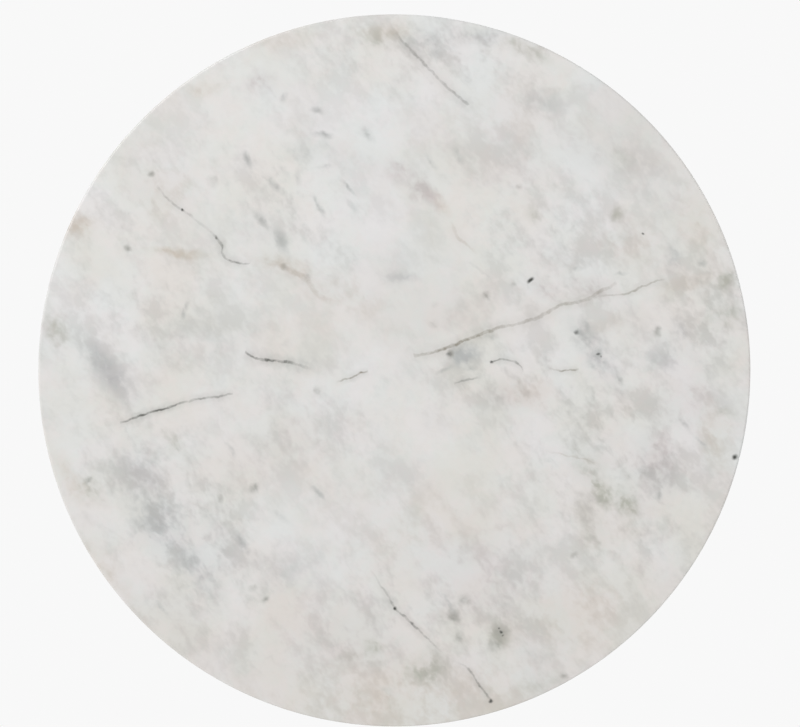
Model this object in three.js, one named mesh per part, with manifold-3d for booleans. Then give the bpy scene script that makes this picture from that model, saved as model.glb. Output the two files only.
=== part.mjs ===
// A round pedestal table. A stone slab is bonded to a plywood backer, which is bolted to a cast spider.
// One tie rod clamps the spider, the steel column, the column socket and a heavy base plate together.
// Four glides under the base plate level the table: each stud screws out of its bush and lowers its pad.
// Millimetres, +Z up. The origin is on the floor, under the middle of the top.
import * as THREE from "three";
import { mergeVertices } from "three/addons/utils/BufferGeometryUtils.js";
import Module from "manifold-3d";

const wasm = await Module();
wasm.setup();

// ---------------------------------------------------------------- driving dimensions

const TABLE_HEIGHT = 762;
const TOUCH_GAP = 0.3; // left between neighbours that touch
const RUNNING_CLEARANCE = 0.3; // radial, between a shank and its hole
const BAND_MARGIN = 8; // from a covered part of an underside to its free outer band

const SLAB = { radius: 457, thickness: 20, upperArris: 3, lowerArris: 1.5 };
const BACKER = { radius: 380, thickness: 15, chamfer: 10 };
const SPIDER = { hubRadius: 52, hubDepth: 36, armReach: 310, rootWidth: 60, tipWidth: 38, tipDepth: 13 };
const SPIDER_WALL = { web: 6, side: 6, floor: 8, spigot: 8 };
const SPIGOT_LENGTH = 35;
const COLUMN = { radius: 44.45, wall: 3 };
const SOCKET = { flangeRadius: 75, flangeThickness: 10, bossHeight: 48, bossWall: 10 };
const PLATE = { radius: 274, thickness: 18, upperChamfer: 6, lowerChamfer: 3 };
const COVER = { radius: 279.4, wall: 2, clearOfFloor: 7, shoulderRadius: 12, slopeDeg: 10 };
const NECK = { radius: 54, filletRadius: 85, straight: 4 };
const COLLAR = { height: 24, radius: 59, lipRadius: 49, spigotLength: 8, band: 7 };
const ROD = { radius: 8, hole: 8.6, endChamfer: 1.5 };
const ROD_WASHER = { radius: 17, thickness: 3 };
const ROD_NUT = { acrossFlats: 24, upperHeight: 13, lowerHeight: 8 };
const ROD_RECESS = { radius: 21, plateDepth: 12 };
const TOP_BOLT = { radius: 4, headFlats: 13, headHeight: 5.3, reach: 12, washerRadius: 9, washerThickness: 1.6 };
const INSERT = { radius: 6, length: 12 };
const SOCKET_SCREW = { radius: 4, headRadius: 7.5, headHeight: 4.4, circleRadius: 58, reach: 8 };
const SET_SCREW = { radius: 2.5, length: 7 };
const GLIDE = { circleRadius: 235, padRadius: 16, padHeight: 6, hexFlats: 15, hexHeight: 4 };
const STUD = { radius: 5, length: 16.5, headRadius: 8, headHeight: 2.5 };
const BUSH = { radius: 7, flangeRadius: 11, flangeHeight: 1.4 };

const ARM_BOLT_RADII = [140, 270];
const ARM_ANGLES_DEG = [0, 90, 180, 270];
const GLIDE_ANGLES_DEG = [45, 135, 225, 315];
const SET_SCREW_ANGLE_DEG = 90;

const SIDES = { slab: 72, base: 48, column: 32, hub: 32, pad: 16, bore: 12 };

// ---------------------------------------------------------------- heights worked out from them

const slabUnderside = TABLE_HEIGHT - SLAB.thickness;
const backerTop = slabUnderside - TOUCH_GAP;
const backerUnderside = backerTop - BACKER.thickness;
const spiderTop = backerUnderside - TOUCH_GAP;
const armUnderside = spiderTop - SPIDER_WALL.web;
const hubUnderside = spiderTop - SPIDER.hubDepth;
const columnTop = hubUnderside - TOUCH_GAP;

const hexBottom = GLIDE.padHeight + TOUCH_GAP;
const hexTop = hexBottom + GLIDE.hexHeight;
const bushBottom = hexTop + TOUCH_GAP;
const plateBottom = bushBottom + BUSH.flangeHeight + TOUCH_GAP;
const plateTop = plateBottom + PLATE.thickness;
const plateRecessTop = plateBottom + ROD_RECESS.plateDepth;
const socketBottom = plateTop + TOUCH_GAP;
const socketFlangeTop = socketBottom + SOCKET.flangeThickness;
const columnBottom = socketFlangeTop + TOUCH_GAP;

const columnBore = COLUMN.radius - COLUMN.wall;
const spigotRadius = columnBore - TOUCH_GAP;
const collarBore = COLUMN.radius + TOUCH_GAP;

// ---------------------------------------------------------------- materials

const marble = new THREE.MeshStandardMaterial({ color: 0xd9d7d3, roughness: 0.3, metalness: 0 });
const birchPly = new THREE.MeshStandardMaterial({ color: 0xc8a878, roughness: 0.6, metalness: 0 });
const blackSteel = new THREE.MeshStandardMaterial({ color: 0x1d1d1e, roughness: 0.5, metalness: 0.4 });
const castIron = new THREE.MeshStandardMaterial({ color: 0x2b2b2c, roughness: 0.7, metalness: 0.6 });
const agedBrass = new THREE.MeshStandardMaterial({ color: 0xa5844c, roughness: 0.35, metalness: 1 });
const zincSteel = new THREE.MeshStandardMaterial({ color: 0xa9abad, roughness: 0.35, metalness: 1 });
const nylon = new THREE.MeshStandardMaterial({ color: 0x26272a, roughness: 0.6, metalness: 0 });

// ---------------------------------------------------------------- shape helpers

const radians = THREE.MathUtils.degToRad;

// A profile is a list of [radius, height] pairs, anticlockwise: out along the bottom, up, and back in.
function turned(profile, sides) {
  const points = profile.map(([radius, height]) => new THREE.Vector2(radius, height));
  return new THREE.LatheGeometry(points, sides).rotateX(Math.PI / 2);
}

function turnedRing(profile, sides) {
  return turned([...profile, profile[0]], sides);
}

function disc(radius, bottom, top, sides) {
  return turned([[0, bottom], [radius, bottom], [radius, top], [0, top]], sides);
}

function tube(bore, radius, bottom, top, sides) {
  return turnedRing([[bore, bottom], [radius, bottom], [radius, top], [bore, top]], sides);
}

function arc(centreRadius, centreHeight, radius, fromDeg, toDeg, steps) {
  return Array.from({ length: steps + 1 }, (_, step) => {
    const angle = radians(fromDeg + ((toDeg - fromDeg) * step) / steps);
    return [centreRadius + radius * Math.cos(angle), centreHeight + radius * Math.sin(angle)];
  });
}

function hexCornerRadius(acrossFlats) {
  return acrossFlats / 2 / Math.cos(Math.PI / 6);
}

// An outline extruded upwards from bottom to top.
function prism(outline, bottom, top) {
  const settings = { depth: top - bottom, bevelEnabled: false, curveSegments: 6 };
  return new THREE.ExtrudeGeometry(outline, settings).translate(0, 0, bottom);
}

// An outline drawn in X and Z, extruded to width across Y and centred on it.
function wedge(outline, width) {
  const settings = { depth: width, bevelEnabled: false };
  return new THREE.ExtrudeGeometry(outline, settings).rotateX(Math.PI / 2).translate(0, width / 2, 0);
}

function outlineOf(points) {
  return new THREE.Shape(points.map(([x, y]) => new THREE.Vector2(x, y)));
}

// ---------------------------------------------------------------- booleans

function solidOf(geometry) {
  const bare = geometry.clone();
  bare.deleteAttribute("normal");
  bare.deleteAttribute("uv");
  const merged = mergeVertices(bare, 1e-3);
  const vertProperties = new Float32Array(merged.attributes.position.array);
  const triVerts = new Uint32Array(merged.index.array);
  return new wasm.Manifold(new wasm.Mesh({ numProp: 3, vertProperties, triVerts }));
}

function geometryOf(solid) {
  const mesh = solid.getMesh();
  const geometry = new THREE.BufferGeometry();
  geometry.setAttribute("position", new THREE.BufferAttribute(mesh.vertProperties, 3));
  geometry.setIndex(new THREE.BufferAttribute(mesh.triVerts, 1));
  geometry.computeVertexNormals();
  return geometry;
}

function joined(solids) {
  return solids.reduce((whole, solid) => whole.add(solid));
}

function cut(solid, tools) {
  return tools.reduce((whole, tool) => whole.subtract(tool), solid);
}

function placeAt(geometry, radius, angleDeg) {
  return geometry.clone().translate(radius, 0, 0).rotateZ(radians(angleDeg));
}

function hole(radius, bottom, top, circleRadius, angleDeg) {
  return solidOf(placeAt(disc(radius, bottom, top, SIDES.bore), circleRadius, angleDeg));
}

// A drilling through a collar, square to its axis.
function crossHole(radius, height) {
  const drill = disc(radius, collarBore - 2, COLLAR.radius + 2, SIDES.bore);
  const laidAlongX = drill.rotateY(Math.PI / 2).translate(0, 0, height);
  return solidOf(laidAlongX.rotateZ(radians(SET_SCREW_ANGLE_DEG)));
}

// ---------------------------------------------------------------- the assembly

const table = new THREE.Group();

function add(name, geometry, material) {
  const mesh = new THREE.Mesh(geometry, material);
  mesh.name = name;
  table.add(mesh);
  return mesh;
}

function addAt(name, geometry, material, radius, angleDeg) {
  const mesh = add(name, geometry, material);
  mesh.position.set(radius * Math.cos(radians(angleDeg)), radius * Math.sin(radians(angleDeg)), 0);
  mesh.rotation.z = radians(angleDeg);
  return mesh;
}

// ---------------------------------------------------------------- top

// The stone slab, with a rounded upper arris and a small chamfer underneath.
// The ring of points on its underside parts the rim, where a clamp can grip, from what the backer covers.
function slab() {
  const arrisCentre = [SLAB.radius - SLAB.upperArris, TABLE_HEIGHT - SLAB.upperArris];
  const profile = [
    [0, slabUnderside],
    [BACKER.radius + BAND_MARGIN, slabUnderside],
    [SLAB.radius - SLAB.lowerArris, slabUnderside],
    [SLAB.radius, slabUnderside + SLAB.lowerArris],
    ...arc(...arrisCentre, SLAB.upperArris, 0, 90, 3),
    [0, TABLE_HEIGHT],
  ];
  return turned(profile, SIDES.slab);
}

const boltPlaces = ARM_ANGLES_DEG.flatMap((angle) => ARM_BOLT_RADII.map((radius) => ({ radius, angle })));
const insertTop = backerUnderside + INSERT.length;

// The backer: chamfered underneath so that its edge does not show, with a blind hole for each insert.
// The ring of points on its underside parts the free outer band from what the spider's arms cross.
function backerBoard() {
  const profile = [
    [0, backerUnderside],
    [SPIDER.armReach + BAND_MARGIN, backerUnderside],
    [BACKER.radius - BACKER.chamfer, backerUnderside],
    [BACKER.radius, backerUnderside + BACKER.chamfer],
    [BACKER.radius, backerTop],
    [0, backerTop],
  ];
  const holeRadius = INSERT.radius + TOUCH_GAP;
  const holes = boltPlaces.map(({ radius, angle }) =>
    hole(holeRadius, backerUnderside - 1, insertTop + TOUCH_GAP, radius, angle),
  );
  return geometryOf(cut(solidOf(turned(profile, SIDES.slab)), holes));
}

function threadedInsert() {
  const bore = TOP_BOLT.radius + RUNNING_CLEARANCE;
  return tube(bore, INSERT.radius, backerUnderside, insertTop, SIDES.bore);
}

// ---------------------------------------------------------------- spider

// Half the width of an arm at a distance from the middle.
function armHalfWidth(distance) {
  const share = distance / SPIDER.armReach;
  return THREE.MathUtils.lerp(SPIDER.rootWidth, SPIDER.tipWidth, share) / 2;
}

// An arm seen from above: tapering, with a round end.
function armOutline(start, reach, inset) {
  const tipCentre = reach - SPIDER.tipWidth / 2;
  const tipHalf = armHalfWidth(tipCentre) - inset;
  const rootHalf = armHalfWidth(start) - inset;
  const outline = new THREE.Shape();
  outline.moveTo(start, -rootHalf);
  outline.lineTo(tipCentre, -tipHalf);
  outline.absarc(tipCentre, 0, tipHalf, -Math.PI / 2, Math.PI / 2, false);
  outline.lineTo(start, rootHalf);
  return outline;
}

// A channel arm: a top web with two side walls that grow shallower towards the tip.
function spiderArm() {
  const plan = solidOf(prism(armOutline(0, SPIDER.armReach, 0), hubUnderside, spiderTop));
  const side = outlineOf([
    [0, hubUnderside],
    [SPIDER.hubRadius, hubUnderside],
    [SPIDER.armReach + 1, spiderTop - SPIDER.tipDepth],
    [SPIDER.armReach + 1, spiderTop],
    [0, spiderTop],
  ]);
  const envelope = solidOf(wedge(side, SPIDER.rootWidth + 2));
  const pocketStart = SPIDER.hubRadius + SPIDER_WALL.side;
  const pocketOutline = armOutline(pocketStart, SPIDER.armReach, SPIDER_WALL.side);
  const pocket = solidOf(prism(pocketOutline, hubUnderside - 1, armUnderside));
  return plan.intersect(envelope).subtract(pocket);
}

// The hub: it stands on the column and plugs into it, and its upper recess takes the rod's nut.
const hubRecessBottom = hubUnderside + 2 * SPIDER_WALL.floor;

function topSpider() {
  const spigotBottom = hubUnderside - SPIGOT_LENGTH;
  const hub = turned(
    [
      [0, spigotBottom],
      [spigotRadius, spigotBottom],
      [spigotRadius, hubUnderside],
      [SPIDER.hubRadius, hubUnderside],
      [SPIDER.hubRadius, spiderTop],
      [0, spiderTop],
    ],
    SIDES.hub,
  );
  const arm = spiderArm();
  const arms = ARM_ANGLES_DEG.map((angle) => solidOf(geometryOf(arm).rotateZ(radians(angle))));
  const spigotBore = spigotRadius - SPIDER_WALL.spigot;
  const hollows = [
    solidOf(disc(ROD_RECESS.radius, hubRecessBottom, spiderTop + 1, SIDES.hub)),
    solidOf(disc(ROD.hole, spigotBottom - 1, spiderTop, SIDES.hub)),
    solidOf(disc(spigotBore, spigotBottom - 1, hubUnderside + SPIDER_WALL.floor, SIDES.hub)),
  ];
  const boltHoles = boltPlaces.map(({ radius, angle }) =>
    hole(TOP_BOLT.radius + 0.5, armUnderside - 1, spiderTop + 1, radius, angle),
  );
  return geometryOf(cut(joined([solidOf(hub), ...arms]), [...hollows, ...boltHoles]));
}

const washerTop = armUnderside - TOUCH_GAP;
const washerBottom = washerTop - TOP_BOLT.washerThickness;
const boltHeadTop = washerBottom - TOUCH_GAP;

function topWasher() {
  return tube(TOP_BOLT.radius + 0.4, TOP_BOLT.washerRadius, washerBottom, washerTop, SIDES.bore);
}

function topBolt() {
  const head = disc(hexCornerRadius(TOP_BOLT.headFlats), boltHeadTop - TOP_BOLT.headHeight, boltHeadTop, 6);
  const shankBottom = boltHeadTop - TOP_BOLT.headHeight / 2;
  const shankTop = backerUnderside + TOP_BOLT.reach - 1;
  const shank = disc(TOP_BOLT.radius, shankBottom, shankTop, SIDES.bore);
  return geometryOf(solidOf(head).add(solidOf(shank)));
}

// ---------------------------------------------------------------- column and tie rod

function columnTube() {
  return tube(columnBore, COLUMN.radius, columnBottom, columnTop, SIDES.column);
}

// The socket: a flange on the base plate with a boss that the column slides over.
function columnSocket() {
  const bossTop = socketFlangeTop + SOCKET.bossHeight;
  const bossBore = spigotRadius - SOCKET.bossWall;
  const body = turnedRing(
    [
      [ROD.hole, socketBottom],
      [SOCKET.flangeRadius, socketBottom],
      [SOCKET.flangeRadius, socketFlangeTop],
      [spigotRadius, socketFlangeTop],
      [spigotRadius, bossTop],
      [bossBore, bossTop],
      [bossBore, socketFlangeTop],
      [ROD.hole, socketFlangeTop],
    ],
    SIDES.column,
  );
  const holes = ARM_ANGLES_DEG.map((angle) =>
    hole(
      SOCKET_SCREW.radius + RUNNING_CLEARANCE,
      socketBottom - 1,
      socketFlangeTop + 1,
      SOCKET_SCREW.circleRadius,
      angle,
    ),
  );
  return geometryOf(cut(solidOf(body), holes));
}

// A countersunk screw, or with a margin the hole that it sits in.
function countersunk(margin, bottom, top) {
  const headTop = bottom + SOCKET_SCREW.headHeight + margin;
  return turned(
    [
      [0, bottom],
      [SOCKET_SCREW.headRadius + margin, bottom],
      [SOCKET_SCREW.radius + margin, headTop],
      [SOCKET_SCREW.radius + margin, top],
      [0, top],
    ],
    SIDES.bore,
  );
}

const rodBottom = plateBottom + TOUCH_GAP;
const rodTop = spiderTop - 3;
const lowerWasherTop = plateRecessTop - TOUCH_GAP;
const lowerNutTop = lowerWasherTop - ROD_WASHER.thickness - TOUCH_GAP;
const upperWasherBottom = hubRecessBottom + TOUCH_GAP;
const upperNutBottom = upperWasherBottom + ROD_WASHER.thickness + TOUCH_GAP;

function tieRod() {
  const profile = [
    [0, rodBottom],
    [ROD.radius - ROD.endChamfer, rodBottom],
    [ROD.radius, rodBottom + ROD.endChamfer],
    [ROD.radius, rodTop - ROD.endChamfer],
    [ROD.radius - ROD.endChamfer, rodTop],
    [0, rodTop],
  ];
  return turned(profile, SIDES.bore);
}

function rodWasher(bottom) {
  return tube(ROD.hole, ROD_WASHER.radius, bottom, bottom + ROD_WASHER.thickness, SIDES.pad);
}

function rodNut(bottom, height) {
  const block = disc(hexCornerRadius(ROD_NUT.acrossFlats), bottom, bottom + height, 6);
  const bore = disc(ROD.radius + RUNNING_CLEARANCE, bottom - 1, bottom + height + 1, SIDES.bore);
  return geometryOf(solidOf(block).subtract(solidOf(bore)));
}

// ---------------------------------------------------------------- base

// The cover's outer surface is a skirt, a round shoulder, a shallow cone and a fillet into the neck.
// Its inner surface is the same outline moved in by the wall.
const shoulderHeight = plateTop + 0.5 - (COVER.shoulderRadius - COVER.wall);
const shoulderCentreRadius = COVER.radius - COVER.shoulderRadius;
const coneStart = arc(shoulderCentreRadius, shoulderHeight, COVER.shoulderRadius, 0, 90 - COVER.slopeDeg, 1)[1];
const filletCentreRadius = NECK.radius + NECK.filletRadius;
const coneEndRadius = filletCentreRadius - NECK.filletRadius * Math.sin(radians(COVER.slopeDeg));
const coneEndHeight = coneStart[1] + (coneStart[0] - coneEndRadius) * Math.tan(radians(COVER.slopeDeg));
const filletCentreHeight = coneEndHeight + NECK.filletRadius * Math.cos(radians(COVER.slopeDeg));
const neckTop = filletCentreHeight + NECK.straight;

function coverOutline(inwards) {
  const shoulder = COVER.shoulderRadius - inwards;
  const fillet = NECK.filletRadius + inwards;
  return [
    [COVER.radius - inwards, COVER.clearOfFloor],
    ...arc(shoulderCentreRadius, shoulderHeight, shoulder, 0, 90 - COVER.slopeDeg, 3),
    ...arc(filletCentreRadius, filletCentreHeight, fillet, 270 - COVER.slopeDeg, 180, 6),
    [NECK.radius - inwards, neckTop],
  ];
}

function baseCover() {
  const inner = coverOutline(COVER.wall).reverse();
  return turnedRing([...coverOutline(0), ...inner], SIDES.base);
}

// The ballast plate: drilled for the socket screws and the glide bushes, and recessed for the rod's nut.
function basePlate() {
  const body = turnedRing(
    [
      [ROD_RECESS.radius, plateBottom],
      [PLATE.radius - PLATE.lowerChamfer, plateBottom],
      [PLATE.radius, plateBottom + PLATE.lowerChamfer],
      [PLATE.radius, plateTop - PLATE.upperChamfer],
      [PLATE.radius - PLATE.upperChamfer, plateTop],
      [ROD.hole, plateTop],
      [ROD.hole, plateRecessTop],
      [ROD_RECESS.radius, plateRecessTop],
    ],
    SIDES.base,
  );
  const screwHole = countersunk(TOUCH_GAP, plateBottom - TOUCH_GAP, plateTop + 1);
  const screwHoles = ARM_ANGLES_DEG.map((angle) =>
    solidOf(placeAt(screwHole, SOCKET_SCREW.circleRadius, angle)),
  );
  const bushHoles = GLIDE_ANGLES_DEG.map((angle) =>
    hole(BUSH.radius + TOUCH_GAP, plateBottom - 1, plateTop + 1, GLIDE.circleRadius, angle),
  );
  return geometryOf(cut(solidOf(body), [...screwHoles, ...bushHoles]));
}

// ---------------------------------------------------------------- collars

// A collar seen in section: a straight band, a cove and a lip. The band is at the end called wide.
function collarOutline(wide, narrow) {
  const up = Math.sign(narrow - wide);
  const bandEnd = wide + up * COLLAR.band;
  const coveRadius = COLLAR.radius - COLLAR.lipRadius;
  const cove = arc(COLLAR.radius, bandEnd + up * coveRadius, coveRadius, -90 * up, -180 * up, 3);
  return [[COLLAR.radius, wide], ...cove, [COLLAR.lipRadius, narrow]];
}

const lowerCollarBottom = neckTop + TOUCH_GAP;
const upperCollarTop = columnTop - TOUCH_GAP;

// It rests on the neck of the cover and centres it with a short spigot.
function lowerCollar() {
  const bandTop = lowerCollarBottom + COLLAR.height;
  const spigotBottom = neckTop - COLLAR.spigotLength;
  const spigot = NECK.radius - COVER.wall - TOUCH_GAP;
  const profile = [
    [collarBore, spigotBottom],
    [spigot, spigotBottom],
    [spigot, lowerCollarBottom],
    ...collarOutline(lowerCollarBottom, bandTop),
    [collarBore, bandTop],
  ];
  const body = solidOf(turnedRing(profile, SIDES.column));
  return geometryOf(body.subtract(crossHole(SET_SCREW.radius + TOUCH_GAP, lowerCollarBottom + COLLAR.band / 2)));
}

// The same collar upside down, under the spider's hub.
function upperCollar() {
  const bottom = upperCollarTop - COLLAR.height;
  const profile = [
    [collarBore, bottom],
    ...collarOutline(upperCollarTop, bottom).reverse(),
    [collarBore, upperCollarTop],
  ];
  const body = solidOf(turnedRing(profile, SIDES.column));
  return geometryOf(body.subtract(crossHole(SET_SCREW.radius + TOUCH_GAP, upperCollarTop - COLLAR.band / 2)));
}

function setScrew(height) {
  const start = collarBore + TOUCH_GAP;
  const screw = disc(SET_SCREW.radius, start, start + SET_SCREW.length, SIDES.bore);
  return screw.rotateY(Math.PI / 2).translate(0, 0, height).rotateZ(radians(SET_SCREW_ANGLE_DEG));
}

// ---------------------------------------------------------------- glides

function glideBush() {
  const bore = STUD.radius + RUNNING_CLEARANCE;
  const flangeTop = bushBottom + BUSH.flangeHeight;
  const profile = [
    [bore, bushBottom],
    [BUSH.flangeRadius, bushBottom],
    [BUSH.flangeRadius, flangeTop],
    [BUSH.radius, flangeTop],
    [BUSH.radius, plateTop],
    [bore, plateTop],
  ];
  return turnedRing(profile, SIDES.bore);
}

const studHeadBottom = hexBottom - STUD.headHeight;

// A stud: a round head that turns in the pad, a hexagon for the spanner and a threaded shank.
function glideStud() {
  const head = disc(STUD.headRadius, studHeadBottom, hexBottom + GLIDE.hexHeight / 2, SIDES.pad);
  const hexagon = disc(hexCornerRadius(GLIDE.hexFlats), hexBottom, hexTop, 6);
  const shank = disc(STUD.radius, hexBottom + GLIDE.hexHeight / 2, hexTop + STUD.length, SIDES.bore);
  return geometryOf(joined([solidOf(head), solidOf(hexagon), solidOf(shank)]));
}

// A pad: a shallow cup with a rounded foot, which holds the head of the stud.
function glidePad() {
  const socketRadius = STUD.headRadius + TOUCH_GAP;
  const socketFloor = studHeadBottom - TOUCH_GAP;
  const profile = [
    [0, 0],
    [GLIDE.padRadius - 1.5, 0],
    [GLIDE.padRadius, 1.5],
    [GLIDE.padRadius, GLIDE.padHeight - 2],
    [GLIDE.padRadius - 3, GLIDE.padHeight],
    [socketRadius, GLIDE.padHeight],
    [socketRadius, socketFloor],
    [0, socketFloor],
  ];
  return turned(profile, SIDES.pad);
}

// ---------------------------------------------------------------- building the assembly

add("marble_top", slab(), marble);
add("backer_board", backerBoard(), birchPly);
add("top_spider", topSpider(), castIron);
add("column_tube", columnTube(), blackSteel);
add("column_socket", columnSocket(), castIron);
add("upper_collar", upperCollar(), agedBrass);
add("lower_collar", lowerCollar(), agedBrass);
add("upper_collar_screw", setScrew(upperCollarTop - COLLAR.band / 2), zincSteel);
add("lower_collar_screw", setScrew(lowerCollarBottom + COLLAR.band / 2), zincSteel);
add("base_cover", baseCover(), blackSteel);
add("base_plate", basePlate(), castIron);

add("tie_rod", tieRod(), zincSteel);
add("upper_rod_washer", rodWasher(upperWasherBottom), zincSteel);
add("upper_rod_nut", rodNut(upperNutBottom, ROD_NUT.upperHeight), zincSteel);
add("lower_rod_washer", rodWasher(lowerWasherTop - ROD_WASHER.thickness), zincSteel);
add("lower_rod_nut", rodNut(lowerNutTop - ROD_NUT.lowerHeight, ROD_NUT.lowerHeight), zincSteel);

boltPlaces.forEach(({ radius, angle }, index) => {
  addAt(`backer_insert_${index + 1}`, threadedInsert(), zincSteel, radius, angle);
  addAt(`top_washer_${index + 1}`, topWasher(), zincSteel, radius, angle);
  addAt(`top_bolt_${index + 1}`, topBolt(), zincSteel, radius, angle);
});

ARM_ANGLES_DEG.forEach((angle, index) => {
  const screw = countersunk(0, plateBottom, socketBottom + SOCKET_SCREW.reach);
  addAt(`socket_screw_${index + 1}`, screw, zincSteel, SOCKET_SCREW.circleRadius, angle);
});

GLIDE_ANGLES_DEG.forEach((angle, index) => {
  addAt(`glide_bush_${index + 1}`, glideBush(), zincSteel, GLIDE.circleRadius, angle);
  addAt(`glide_stud_${index + 1}`, glideStud(), zincSteel, GLIDE.circleRadius, angle);
  addAt(`glide_pad_${index + 1}`, glidePad(), nylon, GLIDE.circleRadius, angle);
});

export default table;
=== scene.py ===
"""The looks of the round pedestal table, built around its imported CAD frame.

Metres, +Z up, the CAD's own frame."""

import math

import bmesh
import bpy
from mathutils import Matrix, Vector


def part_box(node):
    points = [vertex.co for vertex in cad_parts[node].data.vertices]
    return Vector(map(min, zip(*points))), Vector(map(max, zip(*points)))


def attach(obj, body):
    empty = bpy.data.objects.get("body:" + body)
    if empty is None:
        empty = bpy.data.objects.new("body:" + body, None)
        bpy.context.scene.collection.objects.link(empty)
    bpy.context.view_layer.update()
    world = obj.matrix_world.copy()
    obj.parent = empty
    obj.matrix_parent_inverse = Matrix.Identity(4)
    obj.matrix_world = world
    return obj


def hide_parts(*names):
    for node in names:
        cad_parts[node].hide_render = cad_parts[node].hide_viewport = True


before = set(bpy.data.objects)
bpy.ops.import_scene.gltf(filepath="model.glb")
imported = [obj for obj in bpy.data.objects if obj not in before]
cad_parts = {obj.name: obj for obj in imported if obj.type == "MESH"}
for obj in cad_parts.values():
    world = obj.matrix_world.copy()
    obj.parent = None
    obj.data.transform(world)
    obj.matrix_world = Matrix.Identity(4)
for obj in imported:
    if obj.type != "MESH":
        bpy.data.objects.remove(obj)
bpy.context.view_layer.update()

# ---------------------------------------------------------------- dimensions

MM = 0.001
GAP = 0.3 * MM  # between neighbours that touch, as in the CAD
OVERCUT = 1 * MM  # how far a cutting tool goes past the face that it cuts
MERGE_DISTANCE = 0.003 * MM  # points of a cut mesh that are closer than this become one
TOLERANCE = 0.001 * MM  # heights closer than this to a thread's end count as on it

slab_low, slab_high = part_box("marble_top")
backer_low, backer_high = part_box("backer_board")
spider_low, spider_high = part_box("top_spider")
column_low, column_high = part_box("column_tube")
cover_low, cover_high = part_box("base_cover")
plate_low, plate_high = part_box("base_plate")

SLAB_RADIUS = 457 * MM
BACKER_RADIUS = 380 * MM
ARM_BOLT_RADII = (140 * MM, 270 * MM)
ARM_ANGLES = (0, 90, 180, 270)
ARM_BOLT_PLACES = [(radius, angle) for angle in ARM_ANGLES for radius in ARM_BOLT_RADII]
GLIDE_ANGLES = (45, 135, 225, 315)
GLIDE_CIRCLE = 235 * MM
SOCKET_SCREW_CIRCLE = 58 * MM
SCREW_ANGLE = 90  # the collars' set screws face the back
COLLAR_HEIGHT = 24 * MM
COLLAR_BAND = 7 * MM
ROD_HOLE = 8.6 * MM  # radius, in the spider, the plate and the rod's washers
NUT_RECESS = 21 * MM  # radius, in the spider and the plate

# ---------------------------------------------------------------- mesh helpers


def arc(centre_radius, centre_height, radius, start, end, steps):
    """Points on an arc of a profile, with angles in degrees."""
    angles = (math.radians(start + (end - start) * step / steps) for step in range(steps + 1))
    return [(centre_radius + radius * math.cos(a), centre_height + radius * math.sin(a)) for a in angles]


def turned(profile, segments, ring=False, radius_at=None):
    """A mesh turned about Z from (radius, height) points. With ring, the last point joins the first.
    radius_at(radius, height, angle) may change the radius round the axis, as a screw thread does."""
    made = bmesh.new()
    rings = []
    for radius, height in profile:
        if radius == 0:
            rings.append([made.verts.new((0, 0, height))])
            continue
        circle = []
        for step in range(segments):
            angle = 2 * math.pi * step / segments
            reach = radius_at(radius, height, angle) if radius_at else radius
            circle.append(made.verts.new((reach * math.cos(angle), reach * math.sin(angle), height)))
        rings.append(circle)
    following = rings[1:] + rings[:1] if ring else rings[1:]
    for lower, upper in zip(rings, following):
        for step in range(segments):
            after = (step + 1) % segments
            corners = [lower[step % len(lower)], lower[after % len(lower)]]
            corners += [upper[after % len(upper)], upper[step % len(upper)]]
            corners = list(dict.fromkeys(corners))
            if len(corners) > 2:
                made.faces.new(corners)
    bmesh.ops.recalc_face_normals(made, faces=made.faces)
    return made


def disc(radius, bottom, top, segments):
    return turned([(0, bottom), (radius, bottom), (radius, top), (0, top)], segments)


def prism(outline, bottom, top):
    """An outline of (x, y) points extruded from bottom to top."""
    made = bmesh.new()
    lower = [made.verts.new((x, y, bottom)) for x, y in outline]
    upper = [made.verts.new((x, y, top)) for x, y in outline]
    made.faces.new(lower)
    made.faces.new(upper)
    for i, corner in enumerate(lower):
        j = (i + 1) % len(lower)
        made.faces.new((corner, lower[j], upper[j], upper[i]))
    bmesh.ops.recalc_face_normals(made, faces=made.faces)
    return made


def moved(mesh_form, radius, angle):
    """The form moved out by radius along X and turned about Z by angle degrees."""
    matrix = Matrix.Rotation(math.radians(angle), 4, "Z") @ Matrix.Translation((radius, 0, 0))
    mesh_form.transform(matrix)
    return mesh_form


def laid_along_x(mesh_form, height):
    """A form made about Z, laid about a line along X at that height."""
    mesh_form.transform(Matrix.Translation((0, 0, height)) @ Matrix.Rotation(math.radians(90), 4, "Y"))
    return mesh_form


def object_of(mesh_form, name):
    mesh = bpy.data.meshes.new(name)
    mesh_form.to_mesh(mesh)
    mesh_form.free()
    made = bpy.data.objects.new(name, mesh)
    bpy.context.scene.collection.objects.link(made)
    return made


def discard(obj):
    mesh = obj.data
    bpy.data.objects.remove(obj)
    bpy.data.meshes.remove(mesh)


def apply_modifiers(obj):
    bpy.context.view_layer.update()
    evaluated = obj.evaluated_get(bpy.context.evaluated_depsgraph_get())
    mesh = bpy.data.meshes.new_from_object(evaluated)
    old = obj.data
    obj.modifiers.clear()
    obj.data = mesh
    bpy.data.meshes.remove(old)
    return obj


def cleaned(obj):
    """Merges points that a cut has left almost on top of one another."""
    form = bmesh.new()
    form.from_mesh(obj.data)
    bmesh.ops.remove_doubles(form, verts=form.verts, dist=MERGE_DISTANCE)
    bmesh.ops.dissolve_degenerate(form, edges=form.edges, dist=MERGE_DISTANCE)
    form.to_mesh(obj.data)
    form.free()
    return obj


def combine(obj, tools, operation):
    """Joins the tools with obj, cuts them from it, or keeps what they share, one after the other."""
    for tool in tools:
        modifier = obj.modifiers.new("combine", "BOOLEAN")
        modifier.solver = "MANIFOLD"
        modifier.operation = operation
        modifier.object = tool
        apply_modifiers(obj)
        discard(tool)
    return cleaned(obj)


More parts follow.
